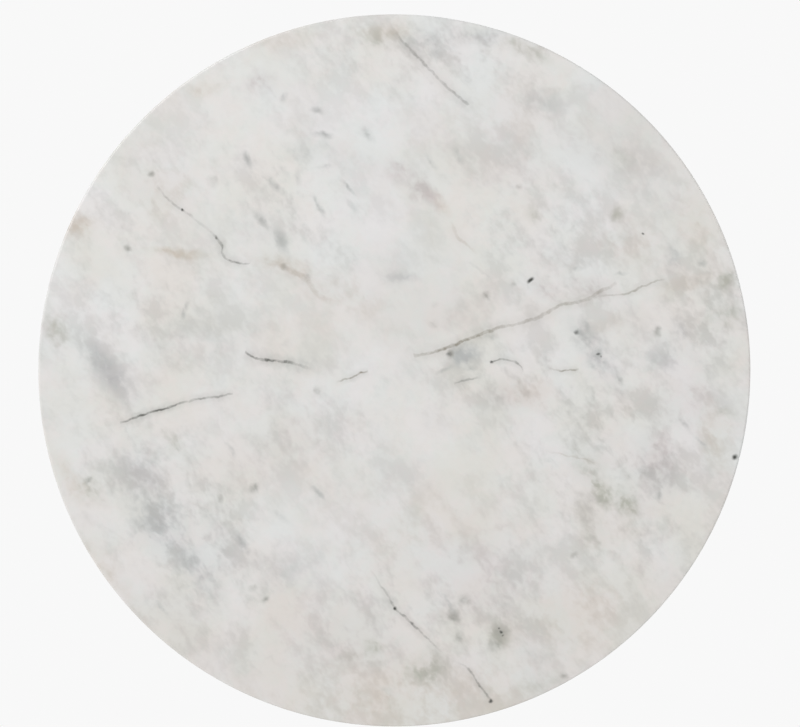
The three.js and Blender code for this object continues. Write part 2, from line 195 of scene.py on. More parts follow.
def cut(obj, forms):
    return combine(obj, [object_of(form, "tool") for form in forms], "DIFFERENCE")


def join(obj, forms):
    return combine(obj, [object_of(form, "tool") for form in forms], "UNION")


def rounded(obj, width, segments=2, angle=35):
    """Rounds every edge sharper than angle degrees."""
    modifier = obj.modifiers.new("rounded", "BEVEL")
    modifier.limit_method = "ANGLE"
    modifier.angle_limit = math.radians(angle)
    modifier.width = width
    modifier.segments = segments
    modifier.use_clamp_overlap = True
    return apply_modifiers(obj)


def piece(obj, body, slot, *nodes, sharp=30):
    """Gives a finished mesh the material of its slot and the body it rides on, and hides the CAD nodes it
    stands for.
    """
    obj.data.materials.clear()
    obj.data.materials.append(MATERIALS[slot])
    obj.data.shade_smooth()
    obj.data.set_sharp_from_angle(angle=math.radians(sharp))
    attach(obj, body)
    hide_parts(*nodes)
    return obj


def copied(obj, name, radius, angle):
    """A copy of a piece's mesh, made about Z, put at its place on a circle."""
    made = bpy.data.objects.new(name, obj.data.copy())
    bpy.context.scene.collection.objects.link(made)
    made.data.transform(Matrix.Translation((radius * math.cos(math.radians(angle)),
                                            radius * math.sin(math.radians(angle)), 0))
                        @ Matrix.Rotation(math.radians(angle), 4, "Z"))
    return made


def hex_corner(across_flats):
    return across_flats / 2 / math.cos(math.pi / 6)


def hex_outline(across_flats):
    corner = hex_corner(across_flats)
    return [(corner * math.cos(a), corner * math.sin(a)) for a in (math.radians(60 * i) for i in range(6))]


def hexagon(across_flats, bottom, top, chamfer_bottom=True, chamfer_top=True):
    """A hexagonal block whose corners are turned off at 30 degrees."""
    corner = hex_corner(across_flats)
    flat = across_flats / 2 * 0.97  # the ends stay flat almost out to the sides
    drop = (corner - flat) * math.tan(math.radians(30))
    block = object_of(prism(hex_outline(across_flats), bottom, top), "hexagon")
    margin = corner * 1.02  # clear of the corners
    profile = [(0, bottom)]
    profile += [(flat, bottom), (margin, bottom + drop)] if chamfer_bottom else [(margin, bottom)]
    profile += [(margin, top - drop), (flat, top)] if chamfer_top else [(margin, top)]
    profile += [(0, top)]
    return combine(block, [object_of(turned(profile, 48), "tool")], "INTERSECT")


def thread_profile(bottom, top, pitch, radius, steps=6):
    count = max(1, round((top - bottom) / (pitch / steps)))
    return [(radius, bottom + (top - bottom) * i / count) for i in range(count + 1)]


def thread_radius(pitch, depth, bottom, top, fade):
    """A thread with flat crests and roots, whose crests fade out towards both ends."""
    flat_share = 0.1

    def radius_at(radius, height, angle):
        phase = (height / pitch - angle / (2 * math.pi)) % 1
        rise = 1 - abs(2 * phase - 1)
        crest = min(1, max(0, (rise - flat_share) / (1 - 2 * flat_share)))
        inside = min(height - bottom, top - height)
        if inside < -TOLERANCE:
            return radius
        ease = min(1, max(0, inside / fade))
        return radius - depth * (1 - crest * ease) if radius > depth else radius

    return radius_at


# ---------------------------------------------------------------- material helpers


def linear(red, green, blue):
    """A colour given as screen values from 0 to 255, in the linear values that shaders use."""

    def channel(value):
        value /= 255
        return value / 12.92 if value <= 0.04045 else ((value + 0.055) / 1.055) ** 2.4

    return (channel(red), channel(green), channel(blue), 1)


class Graph:
    """Builds one material's nodes. Each method adds a node and returns its output."""

    def __init__(self, name, **settings):
        self.material = bpy.data.materials.new(name)
        self.material.use_nodes = True
        self.tree = self.material.node_tree
        self.shader = self.tree.nodes["Principled BSDF"]
        for socket, value in settings.items():
            self.shader.inputs[socket.replace("_", " ")].default_value = value
        self.place = self.node("TexCoord").outputs["Object"]

    def node(self, kind, inputs=None, **settings):
        made = self.tree.nodes.new("ShaderNode" + kind)
        for name, value in settings.items():
            setattr(made, name, value)
        for socket, value in (inputs or {}).items():
            self.feed(made.inputs[socket], value)
        return made

    def feed(self, socket, value):
        if isinstance(value, bpy.types.NodeSocket):
            self.tree.links.new(value, socket)
        else:
            socket.default_value = value

    def math(self, operation, a, b=0.5, c=0.5):
        return self.node("Math", {0: a, 1: b, 2: c}, operation=operation).outputs[0]

    def times(self, a, b):
        return self.math("MULTIPLY", a, b)

    def plus(self, a, b):
        return self.math("ADD", a, b)

    def vector(self, operation, a, b=(0, 0, 0), c=(0, 0, 0)):
        return self.node("VectorMath", {0: a, 1: b, 2: c}, operation=operation).outputs["Vector"]

    def length(self, a):
        return self.node("VectorMath", {0: a}, operation="LENGTH").outputs["Value"]

    def dot(self, a, b):
        return self.node("VectorMath", {0: a, 1: b}, operation="DOT_PRODUCT").outputs["Value"]

    def turned(self, a, degrees):
        """Coordinates seen in axes turned about Z."""
        cosine, sine = math.cos(math.radians(degrees)), math.sin(math.radians(degrees))
        along, across = self.dot(a, (cosine, sine, 0)), self.dot(a, (-sine, cosine, 0))
        return self.node("CombineXYZ", {0: along, 1: across}).outputs[0]

    def scaled(self, a, factor):
        return self.node("VectorMath", {0: a, "Scale": factor}, operation="SCALE").outputs["Vector"]

    def framed(self, a, location=(0, 0, 0), degrees=0, scale=(1, 1, 1)):
        """Coordinates in a frame that stands at location, turned about Z, with axes scale long."""
        rotation = (0, 0, math.radians(degrees))
        inputs = {"Vector": a, "Location": location, "Rotation": rotation, "Scale": scale}
        return self.node("Mapping", inputs, vector_type="TEXTURE").outputs[0]

    def noise(self, a, scale, detail=2, roughness=0.5, dimensions="2D", output="Fac"):
        inputs = {"Vector": a, "Scale": scale, "Detail": detail, "Roughness": roughness}
        return self.node("TexNoise", inputs, noise_dimensions=dimensions).outputs[output]

    def noise_colour(self, *settings):
        return self.noise(*settings, output="Color")

    def spread(self, value, low, high, to_low=0.0, to_high=1.0, smooth=False):
        """Low to high becomes to_low to to_high. A smooth ramp stays within its ends without a clamp."""
        inputs = {0: value, 1: low, 2: high, 3: to_low, 4: to_high}
        kind = "SMOOTHSTEP" if smooth else "LINEAR"
        return self.node("MapRange", inputs, interpolation_type=kind, clamp=not smooth).outputs[0]

    def mix(self, share, a, b, blend="MIX"):
        made = self.node("Mix", {0: share, 6: a, 7: b}, data_type="RGBA", blend_type=blend, clamp_factor=True)
        return made.outputs[2]

    def curve(self, value, points):
        """A smooth function through points, level before the first and after the last."""
        made = self.node("FloatCurve", {"Value": value})
        mapping = made.mapping
        mapping.use_clip = False
        mapping.extend = "HORIZONTAL"
        line = mapping.curves[0]
        while len(line.points) < len(points):
            line.points.new(0.5, 0.5)
        for point, (x, y) in zip(line.points, points):
            point.location = (x, y)
            point.handle_type = "AUTO"
        mapping.update()
        return made.outputs[0]

    def separate(self, a):
        return self.node("SeparateXYZ", {0: a}).outputs

    def bump(self, height, strength, distance):
        inputs = {"Height": height, "Strength": strength, "Distance": distance}
        return self.node("Bump", inputs).outputs[0]

    def finish(self, colour=None, roughness=None, normal=None, metallic=None):
        wanted = {"Base Color": colour, "Roughness": roughness, "Normal": normal, "Metallic": metallic}
        for socket, value in wanted.items():
            if value is not None:
                self.feed(self.shader.inputs[socket], value)
        return self.material


# ---------------------------------------------------------------- marble

# Places on the slab are shares of its radius: u to the right and v to the back, seen from above.
GRAIN = -52  # degrees, the way most of the stone's streaks run

# Soft patches: u, v, half length, half width, direction in degrees, strength.
GREY_PATCHES = [
    (-0.8, 0.0, 0.14, 0.055, GRAIN, 1.0), (-0.72, -0.3, 0.12, 0.09, GRAIN, 0.65),
    (-0.66, -0.42, 0.17, 0.085, GRAIN, 0.85), (-0.56, -0.54, 0.14, 0.065, GRAIN, 0.85),
    (-0.48, -0.5, 0.12, 0.05, GRAIN, 0.35), (0.22, 0.935, 0.09, 0.03, 0, 0.7),
    (0.1, 0.92, 0.08, 0.05, 0, 0.7), (0.75, 0.03, 0.07, 0.05, 0, 0.6), (0.8, 0.11, 0.05, 0.04, GRAIN, 0.5),
    (0.785, 0.31, 0.06, 0.025, 80, 0.7), (0.56, 0.05, 0.14, 0.045, GRAIN, 0.9),
    (0.19, 0.043, 0.055, 0.036, 0, 1.3), (0.01, 0.258, 0.06, 0.02, 0, 0.6),
    (0.735, -0.28, 0.09, 0.05, -70, 0.3), (0.7, 0.56, 0.16, 0.08, GRAIN, 0.35),
    (0.42, 0.75, 0.1, 0.05, 0, 0.45), (-0.23, 0.62, 0.1, 0.04, 0, 0.3), (0.53, 0.06, 0.05, 0.02, -65, 0.5),
    (-0.53, 0.1, 0.2, 0.09, 0, 0.25), (0.02, -0.3, 0.12, 0.06, 0, 0.2), (-0.3, -0.58, 0.12, 0.08, 20, 0.3),
    (0.86, 0.03, 0.09, 0.03, GRAIN, 0.4), (0.66, 0.17, 0.1, 0.05, GRAIN, 0.3),
    (-0.24, 0.02, 0.09, 0.035, 0, 0.4),
]
PINK_PATCHES = [
    (-0.37, 0.8, 0.06, 0.035, 0, 0.9), (0.01, 0.555, 0.055, 0.035, -30, 1.2),
    (0.075, 0.51, 0.07, 0.03, -40, 1.1), (0.43, 0.225, 0.06, 0.035, GRAIN, 0.9),
    (0.55, 0.24, 0.06, 0.035, 0, 0.8), (0.28, 0.6, 0.2, 0.11, 0, 0.3), (0.55, 0.62, 0.14, 0.09, 0, 0.25),
    (0.47, 0.3, 0.1, 0.06, 0, 0.25), (-0.6, -0.72, 0.2, 0.07, GRAIN, 0.4),
    (0.25, -0.58, 0.25, 0.16, 0, 0.5), (0.75, 0.7, 0.14, 0.07, GRAIN, 0.3),
    (-0.15, -0.75, 0.24, 0.14, 0, 0.5), (0.32, -0.07, 0.09, 0.05, 0, 0.6),
    (0.74, -0.26, 0.11, 0.07, -70, 0.8), (-0.3, -0.22, 0.22, 0.1, 20, 0.3),
    (0.2, 0.16, 0.18, 0.07, 20, 0.25), (-0.42, 0.42, 0.12, 0.09, 0, 0.1),
    (0.83, -0.09, 0.13, 0.11, 0, 0.5),
]
BEIGE_PATCHES = [
    (-0.64, 0.5, 0.13, 0.09, 0, 0.4), (-0.87, 0.4, 0.06, 0.035, 0, 0.9),
    (-0.61, 0.325, 0.1, 0.018, -5, 1.0), (-0.9, -0.31, 0.09, 0.035, GRAIN, 1.0),
    (-0.31, 0.3, 0.12, 0.035, -15, 0.5), (-0.12, 0.21, 0.12, 0.07, -20, 0.4),
    (0.12, 0.475, 0.06, 0.018, GRAIN, 0.7), (0.34, 0.72, 0.16, 0.1, 0, 0.3),
    (0.6, -0.1, 0.22, 0.05, 0, 0.15), (0.36, -0.06, 0.1, 0.05, -10, 0.6), (0.66, 0.36, 0.14, 0.07, 0, 0.4),
    (-0.78, -0.6, 0.16, 0.04, GRAIN, 0.6), (-0.3, 0.92, 0.1, 0.03, 10, 0.3),
    (-0.52, 0.79, 0.07, 0.018, 0, 0.5), (0.04, -0.42, 0.24, 0.14, 0, 0.3),
    (0.62, -0.45, 0.14, 0.1, 0, 0.25), (0.52, -0.68, 0.24, 0.13, 20, 0.5),
    (0.85, 0.42, 0.16, 0.05, -70, 0.5), (0.8, 0.23, 0.1, 0.03, 20, 0.5), (-0.02, 0.95, 0.1, 0.03, 0, 0.7),
    (0.6, 0.13, 0.1, 0.04, 20, 0.3), (0.05, -0.92, 0.5, 0.15, 0, 0.6), (0.9, -0.19, 0.13, 0.06, -70, 0.6),
]
OLIVE_PATCHES = [
    (0.58, -0.34, 0.05, 0.03, GRAIN, 1.3), (0.65, -0.37, 0.055, 0.04, GRAIN, 1.4),
    (0.54, -0.27, 0.09, 0.06, -65, 0.7), (0.55, -0.44, 0.1, 0.05, -65, 0.4),
    (0.93, 0.26, 0.05, 0.035, 60, 0.95), (0.925, 0.15, 0.05, 0.045, 60, 0.8),
    (-0.94, 0.11, 0.06, 0.04, -65, 0.8), (0.1, -0.84, 0.065, 0.05, 0, 1.1),
    (-0.07, -0.775, 0.04, 0.025, 0, 1.3), (0.295, -0.75, 0.048, 0.03, -75, 1.0),
    (-0.04, 0.93, 0.06, 0.035, 0, 0.6), (0.375, 0.895, 0.08, 0.025, -20, 0.9),
    (0.386, 0.44, 0.03, 0.026, 0, 0.8), (0.63, 0.44, 0.03, 0.026, 0, 0.8),
    (0.92, -0.12, 0.04, 0.025, 0, 0.5), (-0.85, -0.34, 0.06, 0.03, GRAIN, 0.6),
    (-0.12, -0.8, 0.07, 0.02, 10, 0.5), (0.63, 0.6, 0.05, 0.04, 0, 0.3),
    (-0.62, -0.2, 0.05, 0.02, GRAIN, 0.7), (0.4, -0.88, 0.1, 0.03, 15, 0.3),
]
WHITE_PATCHES = [
    (0.55, -0.09, 0.09, 0.055, 0, 0.9), (0.02, -0.1, 0.16, 0.1, 0, 0.9), (0.1, -0.22, 0.15, 0.09, 0, 0.7),
    (-0.2, 0.42, 0.3, 0.14, GRAIN, 0.8), (-0.14, 0.72, 0.16, 0.1, 0, 0.6),
    (0.2, 0.35, 0.16, 0.08, GRAIN, 0.6), (-0.55, -0.18, 0.2, 0.04, 10, 0.5),
    (0.02, 0.05, 0.2, 0.06, 15, 0.7), (-0.45, 0.62, 0.18, 0.08, GRAIN, 0.4),
    (0.68, -0.38, 0.16, 0.02, GRAIN, 0.5), (-0.38, -0.45, 0.16, 0.04, GRAIN, 0.5),
    (0.3, -0.02, 0.1, 0.03, 0, 0.5), (0.28, 0.4, 0.22, 0.13, -30, 0.9), (-0.4, 0.42, 0.2, 0.12, -30, 0.8),
    (0.72, -0.49, 0.14, 0.07, -30, 0.8), (0.18, -0.13, 0.09, 0.06, 0, 0.7),
]

# The patches, how much of their colour shows, and the colour.
PATCH_TINTS = [
    (WHITE_PATCHES, 0.75, linear(229, 229, 227)),
    (BEIGE_PATCHES, 0.85, linear(205, 197, 186)),
    (PINK_PATCHES, 0.85, linear(203, 196, 194)),
    (GREY_PATCHES, 0.72, linear(187, 188, 188)),
    (OLIVE_PATCHES, 0.85, linear(186, 186, 176)),
]

# Where the flecks are strong.
MOTTLED_ZONES = [
    (0.6, -0.25, 0.5, 0.34, -60, 1.0), (0.45, 0.35, 0.42, 0.3, GRAIN, 0.55),
    (-0.6, -0.42, 0.5, 0.24, GRAIN, 0.9), (-0.7, 0.15, 0.36, 0.26, 0, 0.5), (0.2, 0.9, 0.55, 0.16, 0, 0.8),
    (-0.28, 0.48, 0.34, 0.18, GRAIN, 0.6), (0.15, -0.68, 0.5, 0.26, 0, 0.7),
    (0.4, -0.02, 0.36, 0.14, 0, 0.9), (0.88, 0.15, 0.3, 0.18, 80, 0.9), (-0.25, -0.15, 0.35, 0.2, 0, 0.4),
    (-0.4, -0.75, 0.4, 0.14, -30, 0.4), (-0.75, 0.45, 0.3, 0.18, 50, 0.4),
]

# Short streaks and specks of grey: u, v, half length, half width, direction, strength.
GREY_STREAKS = [
    (-0.41, 0.59, 0.03, 0.012, -60, 0.8), (-0.31, 0.555, 0.028, 0.009, GRAIN, 0.5),
    (-0.34, 0.52, 0.045, 0.012, GRAIN, 0.8), (-0.27, 0.535, 0.03, 0.012, -75, 0.7),
    (-0.19, 0.57, 0.025, 0.008, 0, 0.4), (-0.13, 0.51, 0.035, 0.008, GRAIN, 0.7),
    (-0.215, 0.46, 0.035, 0.01, -60, 0.8), (-0.12, 0.46, 0.03, 0.01, -40, 0.6),
    (-0.375, 0.42, 0.035, 0.012, -60, 0.7), (-0.32, 0.365, 0.04, 0.018, -65, 0.7),
    (-0.22, 0.735, 0.02, 0.01, -20, 0.6), (-0.2, 0.665, 0.035, 0.011, -10, 0.8),
    (-0.07, 0.665, 0.03, 0.014, -60, 0.7), (-0.31, 0.765, 0.016, 0.012, 60, 0.7),
    (-0.46, -0.22, 0.03, 0.008, -55, 0.7), (-0.215, -0.345, 0.028, 0.008, -50, 0.6),
    (-0.425, -0.49, 0.04, 0.016, GRAIN, 0.8), (-0.585, 0.17, 0.028, 0.009, 80, 0.7),
    (-0.31, -0.41, 0.03, 0.01, -35, 0.5), (0.815, -0.16, 0.03, 0.008, -48, 0.8),
    (0.86, -0.205, 0.03, 0.006, -38, 0.5), (0.24, 0.285, 0.035, 0.006, -35, 0.5),
    (0.52, 0.285, 0.016, 0.01, 0, 0.5), (0.64, 0.277, 0.022, 0.006, 0, 0.6),
    (0.86, 0.3, 0.016, 0.012, 0, 0.6), (0.745, -0.345, 0.012, 0.012, 0, 0.5),
    (-0.65, -0.675, 0.035, 0.007, GRAIN, 0.6), (0.1, 0.59, 0.03, 0.01, -50, 0.5),
    (0.18, 0.6, 0.03, 0.012, -60, 0.4), (-0.02, -0.9, 0.03, 0.01, -30, 0.5),
    (0.155, -0.655, 0.04, 0.006, -50, 0.5), (-0.3, 0.08, 0.02, 0.014, 0, 0.4),
    (0.27, 0.09, 0.03, 0.01, 0, 0.3), (0.515, 0.106, 0.026, 0.014, -30, 1.0),
    (0.535, 0.125, 0.02, 0.01, -70, 0.7), (0.54, 0.08, 0.026, 0.01, -50, 0.9),
    (0.575, 0.045, 0.026, 0.014, -60, 1.0), (0.6, 0.018, 0.026, 0.01, -60, 0.8),
    (0.555, 0.012, 0.022, 0.01, -50, 0.6), (0.63, -0.02, 0.03, 0.008, -50, 0.5),
    (0.215, 0.005, 0.022, 0.01, 0, 0.6), (0.14, 0.005, 0.026, 0.008, 25, 0.5),
]
# Soft dots: u, v, radius, strength.
GREY_DOTS = [
    (-0.395, -0.33, 0.016, 1.0), (-0.86, -0.31, 0.013, 1.0), (-0.51, 0.53, 0.02, 0.6),
    (0.737, 0.11, 0.014, 0.8), (-0.395, -0.61, 0.012, 0.8), (-0.366, -0.645, 0.012, 0.8),
    (0.196, -0.64, 0.022, 0.8), (0.165, -0.69, 0.022, 0.9), (0.255, 0.205, 0.015, 0.8),
    (-0.21, -0.055, 0.012, 0.7), (0.355, 0.514, 0.012, 0.6), (0.48, -0.853, 0.014, 0.6),
    (-0.49, -0.36, 0.012, 0.6), (0.155, 0.045, 0.014, 1.0), (-0.68, 0.55, 0.01, 0.8),
    (-0.75, 0.34, 0.012, 0.8), (-0.245, 0.255, 0.018, 0.7), (-0.31, 0.29, 0.012, 0.6),
    (0.18, -0.745, 0.02, 0.6), (0.51, -0.52, 0.012, 0.5), (0.296, -0.735, 0.026, 0.55),
    (0.286, -0.765, 0.026, 0.5), (0.29, -0.44, 0.012, 0.4), (0.115, 0.135, 0.016, 0.4),
    (0.115, 0.185, 0.012, 0.4), (0.34, 0.24, 0.01, 0.4),
]
# Pits filled with dark mineral: u, v, half length, half width, direction, strength.
BLACK_PITS = [
    (0.381, 0.253, 0.013, 0.0065, 32, 1.0), (0.698, 0.383, 0.0055, 0.005, 0, 0.8),
    (0.955, -0.243, 0.011, 0.0075, 45, 0.9), (0.299, -0.733, 0.0065, 0.005, -60, 0.8),
    (0.292, -0.722, 0.005, 0.004, 0, 0.6), (0.305, -0.745, 0.005, 0.004, 0, 0.5),
    (-0.594, 0.45, 0.0065, 0.0048, -45, 0.9), (-0.5, 0.372, 0.006, 0.0045, -45, 0.5),
    (0.003, -0.667, 0.0065, 0.0058, 0, 1.0), (0.27, -0.929, 0.0065, 0.005, 0, 0.8),
    (0.274, 0.024, 0.0065, 0.0055, 0, 0.8), (0.572, 0.046, 0.005, 0.0045, 0, 0.7),
    (0.511, 0.106, 0.0085, 0.006, -30, 0.6), (0.58, 0.04, 0.004, 0.004, 0, 0.5),
    (0.152, 0.044, 0.009, 0.006, 0, 0.45), (0.05, -0.708, 0.007, 0.0045, -40, 0.5),
]

# Veins: the strength at points along them from one end to the other.
# Each is a list of (u, v, strength), the half width, and the colour in VEIN_COLOURS.
VEINS = [
    ([(0.053, 0.041, 0), (0.131, 0.058, 0.65), (0.221, 0.093, 0.75), (0.286, 0.117, 0.52),
      (0.361, 0.135, 0.45), (0.423, 0.158, 0.5), (0.46, 0.18, 0.43), (0.535, 0.198, 0.43),
      (0.575, 0.219, 0.38), (0.625, 0.245, 0)],
     0.008, "olive"),
    ([(0.535, 0.198, 0), (0.59, 0.209, 0.2), (0.659, 0.218, 0.45), (0.703, 0.238, 0.5), (0.76, 0.258, 0)],
     0.005, "olive"),
    ([(-0.77, -0.149, 0), (-0.676, -0.116, 1), (-0.608, -0.096, 0.8), (-0.577, -0.087, 0.4),
      (-0.533, -0.078, 0.75), (-0.489, -0.073, 0.65), (-0.45, -0.063, 0)],
     0.0052, "grey"),
    ([(-0.42, 0.053, 0), (-0.385, 0.034, 0.9), (-0.327, 0.026, 0.9), (-0.291, 0.021, 0.6),
      (-0.225, -0.001, 0)],
     0.0065, "grey"),
    ([(-0.165, -0.033, 0), (-0.123, -0.021, 0.7), (-0.104, -0.012, 0.8), (-0.072, -0.003, 0)],
     0.0045, "olive"),
    ([(-0.665, 0.52, 0), (-0.64, 0.486, 0.33), (-0.594, 0.449, 0.36), (-0.538, 0.406, 0.18),
      (-0.499, 0.371, 0.5), (-0.484, 0.35, 0.6), (-0.478, 0.322, 0.6), (-0.458, 0.306, 0.7),
      (-0.405, 0.3, 0)],
     0.006, "grey"),
    ([(-0.4, 0.315, 0), (-0.316, 0.292, 0.3), (-0.243, 0.25, 0.42), (-0.207, 0.206, 0.36),
      (-0.14, 0.185, 0)],
     0.015, "brown"),
    ([(0.001, 0.952, 0), (0.049, 0.895, 0.5), (0.106, 0.838, 0.45), (0.165, 0.779, 0.55), (0.21, 0.742, 0)],
     0.0065, "grey"),
    ([(-0.068, -0.553, 0), (-0.031, -0.612, 0.3), (0.003, -0.667, 0.55), (0.041, -0.702, 0.65),
      (0.102, -0.762, 0.3), (0.147, -0.803, 0.05), (0.203, -0.835, 0.35), (0.232, -0.872, 0.6),
      (0.274, -0.934, 0)],
     0.005, "grey"),
    ([(0.268, 0.022, 0), (0.297, 0.03, 0.7), (0.33, 0.026, 0.6), (0.352, 0.014, 0.6), (0.362, -0.004, 0)],
     0.005, "grey"),
    ([(0.43, 0.006, 0), (0.46, 0.0, 0.45), (0.48, -0.001, 0.7), (0.52, 0.004, 0)],
     0.0045, "olive"),
    ([(0.16, 0.42, 0), (0.175, 0.38, 0.3), (0.205, 0.35, 0.3), (0.235, 0.325, 0)],
     0.007, "brown"),
    ([(0.165, -0.04, 0), (0.195, -0.028, 0.5), (0.245, -0.022, 0)],
     0.005, "grey"),
    ([(0.42, -0.225, 0), (0.5, -0.242, 0.3), (0.58, -0.262, 0)],
     0.0045, "brown"),
]
VEIN_COLOURS = {
    "olive": linear(126, 119, 102),
    "grey": linear(112, 113, 108),
    "brown": linear(170, 158, 142),
}


def soft_spot(graph, place, u, v, half_length, half_width, strength):
    """The strength in the middle of an ellipse, falling smoothly to 0 a little outside its outline."""
    scale = (1 / half_length, 1 / half_width, 0)
    offset = (-u / half_length, -v / half_width, 0)
    distance = graph.length(graph.vector("MULTIPLY_ADD", place, scale, offset))
    return graph.spread(distance, 1.3, 0, 0, strength, smooth=True)


def patches(graph, place, spots):
    """One mask for a list of ellipses. Those with the same direction share one turned copy of place."""
    mask = None
    for direction in sorted({spot[4] for spot in spots}):
        turned_place = graph.turned(place, direction) if direction else place
        cosine, sine = math.cos(math.radians(direction)), math.sin(math.radians(direction))
        for u, v, half_length, half_width, spot_direction, strength in spots:
            if spot_direction != direction:
                continue
            along, across = u * cosine + v * sine, v * cosine - u * sine
            spot = soft_spot(graph, turned_place, along, across, half_length, half_width, strength)
            mask = spot if mask is None else graph.math("MAXIMUM", mask, spot)
    return mask


def dots(graph, place, spots):
    return patches(graph, place, [(u, v, radius, radius, 0, strength) for u, v, radius, strength in spots])


def vein(graph, place, points, half_width):
    """The masks of a vein's line and of the faint stain beside it."""
    (u0, v0, _), (u1, v1, _) = points[0], points[-1]
    length = math.hypot(u1 - u0, v1 - v0)
    cosine, sine = (u1 - u0) / length, (v1 - v0) / length

    def along(u, v):
        return ((u - u0) * cosine + (v - v0) * sine) / length

    def across(u, v):
        return ((v - v0) * cosine - (u - u0) * sine) / length

    line = [(along(u, v), 0.5 + across(u, v)) for u, v, amount in points]
    strength = [(along(u, v), amount) for u, v, amount in points]
    x = graph.plus(graph.dot(place, (cosine / length, sine / length, 0)), along(0, 0))
    y = graph.plus(graph.dot(place, (-sine / length, cosine / length, 0)), across(0, 0) + 0.5)
    middle = graph.curve(x, line)
    amount = graph.curve(x, strength)
    distance = graph.math("ABSOLUTE", graph.math("SUBTRACT", y, middle))
    reach = half_width / length
    core = graph.spread(distance, reach, 0.2 * reach, smooth=True)
    stain = graph.spread(distance, 4 * reach, 0, 0, 0.28, smooth=True)
    return graph.times(graph.math("MAXIMUM", core, stain), amount)


def marble():
    graph = Graph("polished_marble", Specular_IOR_Level=0.45)
    flat = graph.scaled(graph.place, 1 / SLAB_RADIUS)

    # Two warps: a broad one for the patches' outlines and a fine one that roughens veins and specks.
    broad = graph.vector("SUBTRACT", graph.noise_colour(flat, 6, 4, 0.6), (0.5, 0.5, 0.5))
    fine = graph.vector("SUBTRACT", graph.noise_colour(flat, 34, 2, 0.6, "3D"), (0.5, 0.5, 0.5))
    crisp = graph.vector("ADD", flat, graph.scaled(fine, 0.014))
    loose = graph.vector("ADD", crisp, graph.scaled(broad, 0.075))
    grain = graph.framed(loose, degrees=GRAIN, scale=(2.1, 1, 1))

    # The mottling: flecks of every size, small crystals, and how strong they are from place to place.
    crystals = graph.noise(crisp, 46, 3, 0.62, "3D")
    flecks = graph.noise(graph.framed(crisp, degrees=GRAIN, scale=(1.5, 1, 1)), 11, 3.6, 0.78, "3D")
    cloud = graph.noise(grain, 2.6, 4, 0.55)
    hue = graph.noise(graph.vector("ADD", loose, (7.3, 2.1, 0)), 3.4, 4, 0.6)
    blush = graph.noise(graph.vector("ADD", loose, (1.7, 9.2, 0)), 7, 4, 0.7)

    # The body of the stone: cool white, beige and pinkish in random tones, with painted light that makes it
    # lighter to the back left.
    axes = graph.separate(flat)
    # The slope is painted light: a fall of light from the back left, put into the stone's colour.
    slope = graph.math("SUBTRACT", graph.times(axes[1], 0.38), graph.times(axes[0], 0.08))
    height = graph.plus(graph.times(slope, 0.5), graph.spread(hue, 0.3, 0.7, -0.5, 0.5))
    colour = graph.mix(graph.spread(height, -0.7, 0.6), linear(222, 218, 213), linear(227, 227, 225))
    colour = graph.mix(graph.spread(cloud, 0.52, 0.75, 0, 0.25, True), colour, linear(206, 206, 204))
    colour = graph.mix(graph.spread(cloud, 0.46, 0.28, 0, 0.25, True), colour, linear(228, 227, 225))

    # Mottled masks for the drawn patches: the stone's own texture breaks them up.
    frayed = graph.spread(flecks, 0.57, 0.43, 0.5, 1.3)
    broken = graph.plus(frayed, graph.spread(crystals, 0.35, 0.65, -0.2, 0.2))

    def tint(colour, mask, share, towards):
        return graph.mix(graph.times(graph.times(mask, broken), share), colour, towards)

    for spots, share, towards in PATCH_TINTS:
        colour = tint(colour, patches(graph, loose, spots), share, towards)
    near = graph.vector("ADD", crisp, graph.scaled(broad, 0.035))
    colour = tint(colour, patches(graph, near, GREY_STREAKS), 0.9, linear(180, 182, 180))
    colour = tint(colour, dots(graph, near, GREY_DOTS), 0.75, linear(152, 152, 146))

    # The flecks show everywhere as a mottling, stronger in some places, with a blush of pink or green.
    zone = graph.math("MULTIPLY_ADD", patches(graph, loose, MOTTLED_ZONES), 0.30, 0.13)
    dark = graph.math("POWER", graph.spread(flecks, 0.535, 0.38), 1.4)
    colour = graph.mix(graph.times(dark, zone), colour, linear(170, 168, 163))
    lace = graph.spread(crystals, 0.38, 0.52, -0.05, 0.01)
    light = graph.plus(graph.spread(flecks, 0.50, 0.62, 1.0, 1.02), graph.times(lace, zone))
    pink = graph.spread(blush, 0.40, 0.60, 0.986, 1.012)
    green = graph.spread(blush, 0.40, 0.60, 1.003, 0.995)
    blue = graph.spread(hue, 0.35, 0.65, 0.99, 1.012)
    channels = {index: graph.times(light, tone) for index, tone in enumerate((pink, green, blue))}
    shade = graph.node("CombineColor", channels).outputs[0]
    colour = graph.mix(1.0, colour, shade, "MULTIPLY")

    # The veins, thin lines with broken strength.
    uneven = graph.spread(crystals, 0.35, 0.65, 0.45, 1.15)
    for points, half_width, hue_name in VEINS:
        mask = graph.times(vein(graph, crisp, points, half_width), uneven)
        colour = graph.mix(mask, colour, VEIN_COLOURS[hue_name])
    black = patches(graph, crisp, BLACK_PITS)
    colour = graph.mix(graph.spread(black, 0.0, 0.8), colour, linear(78, 80, 76))

    roughness = graph.spread(crystals, 0.35, 0.65, 0.20, 0.26)
    sheen = graph.noise(graph.place, 900, 1, 0.5)
    normal = graph.bump(sheen, 0.05, 0.0001)
    return graph.finish(colour, roughness, normal)


# ---------------------------------------------------------------- other materials


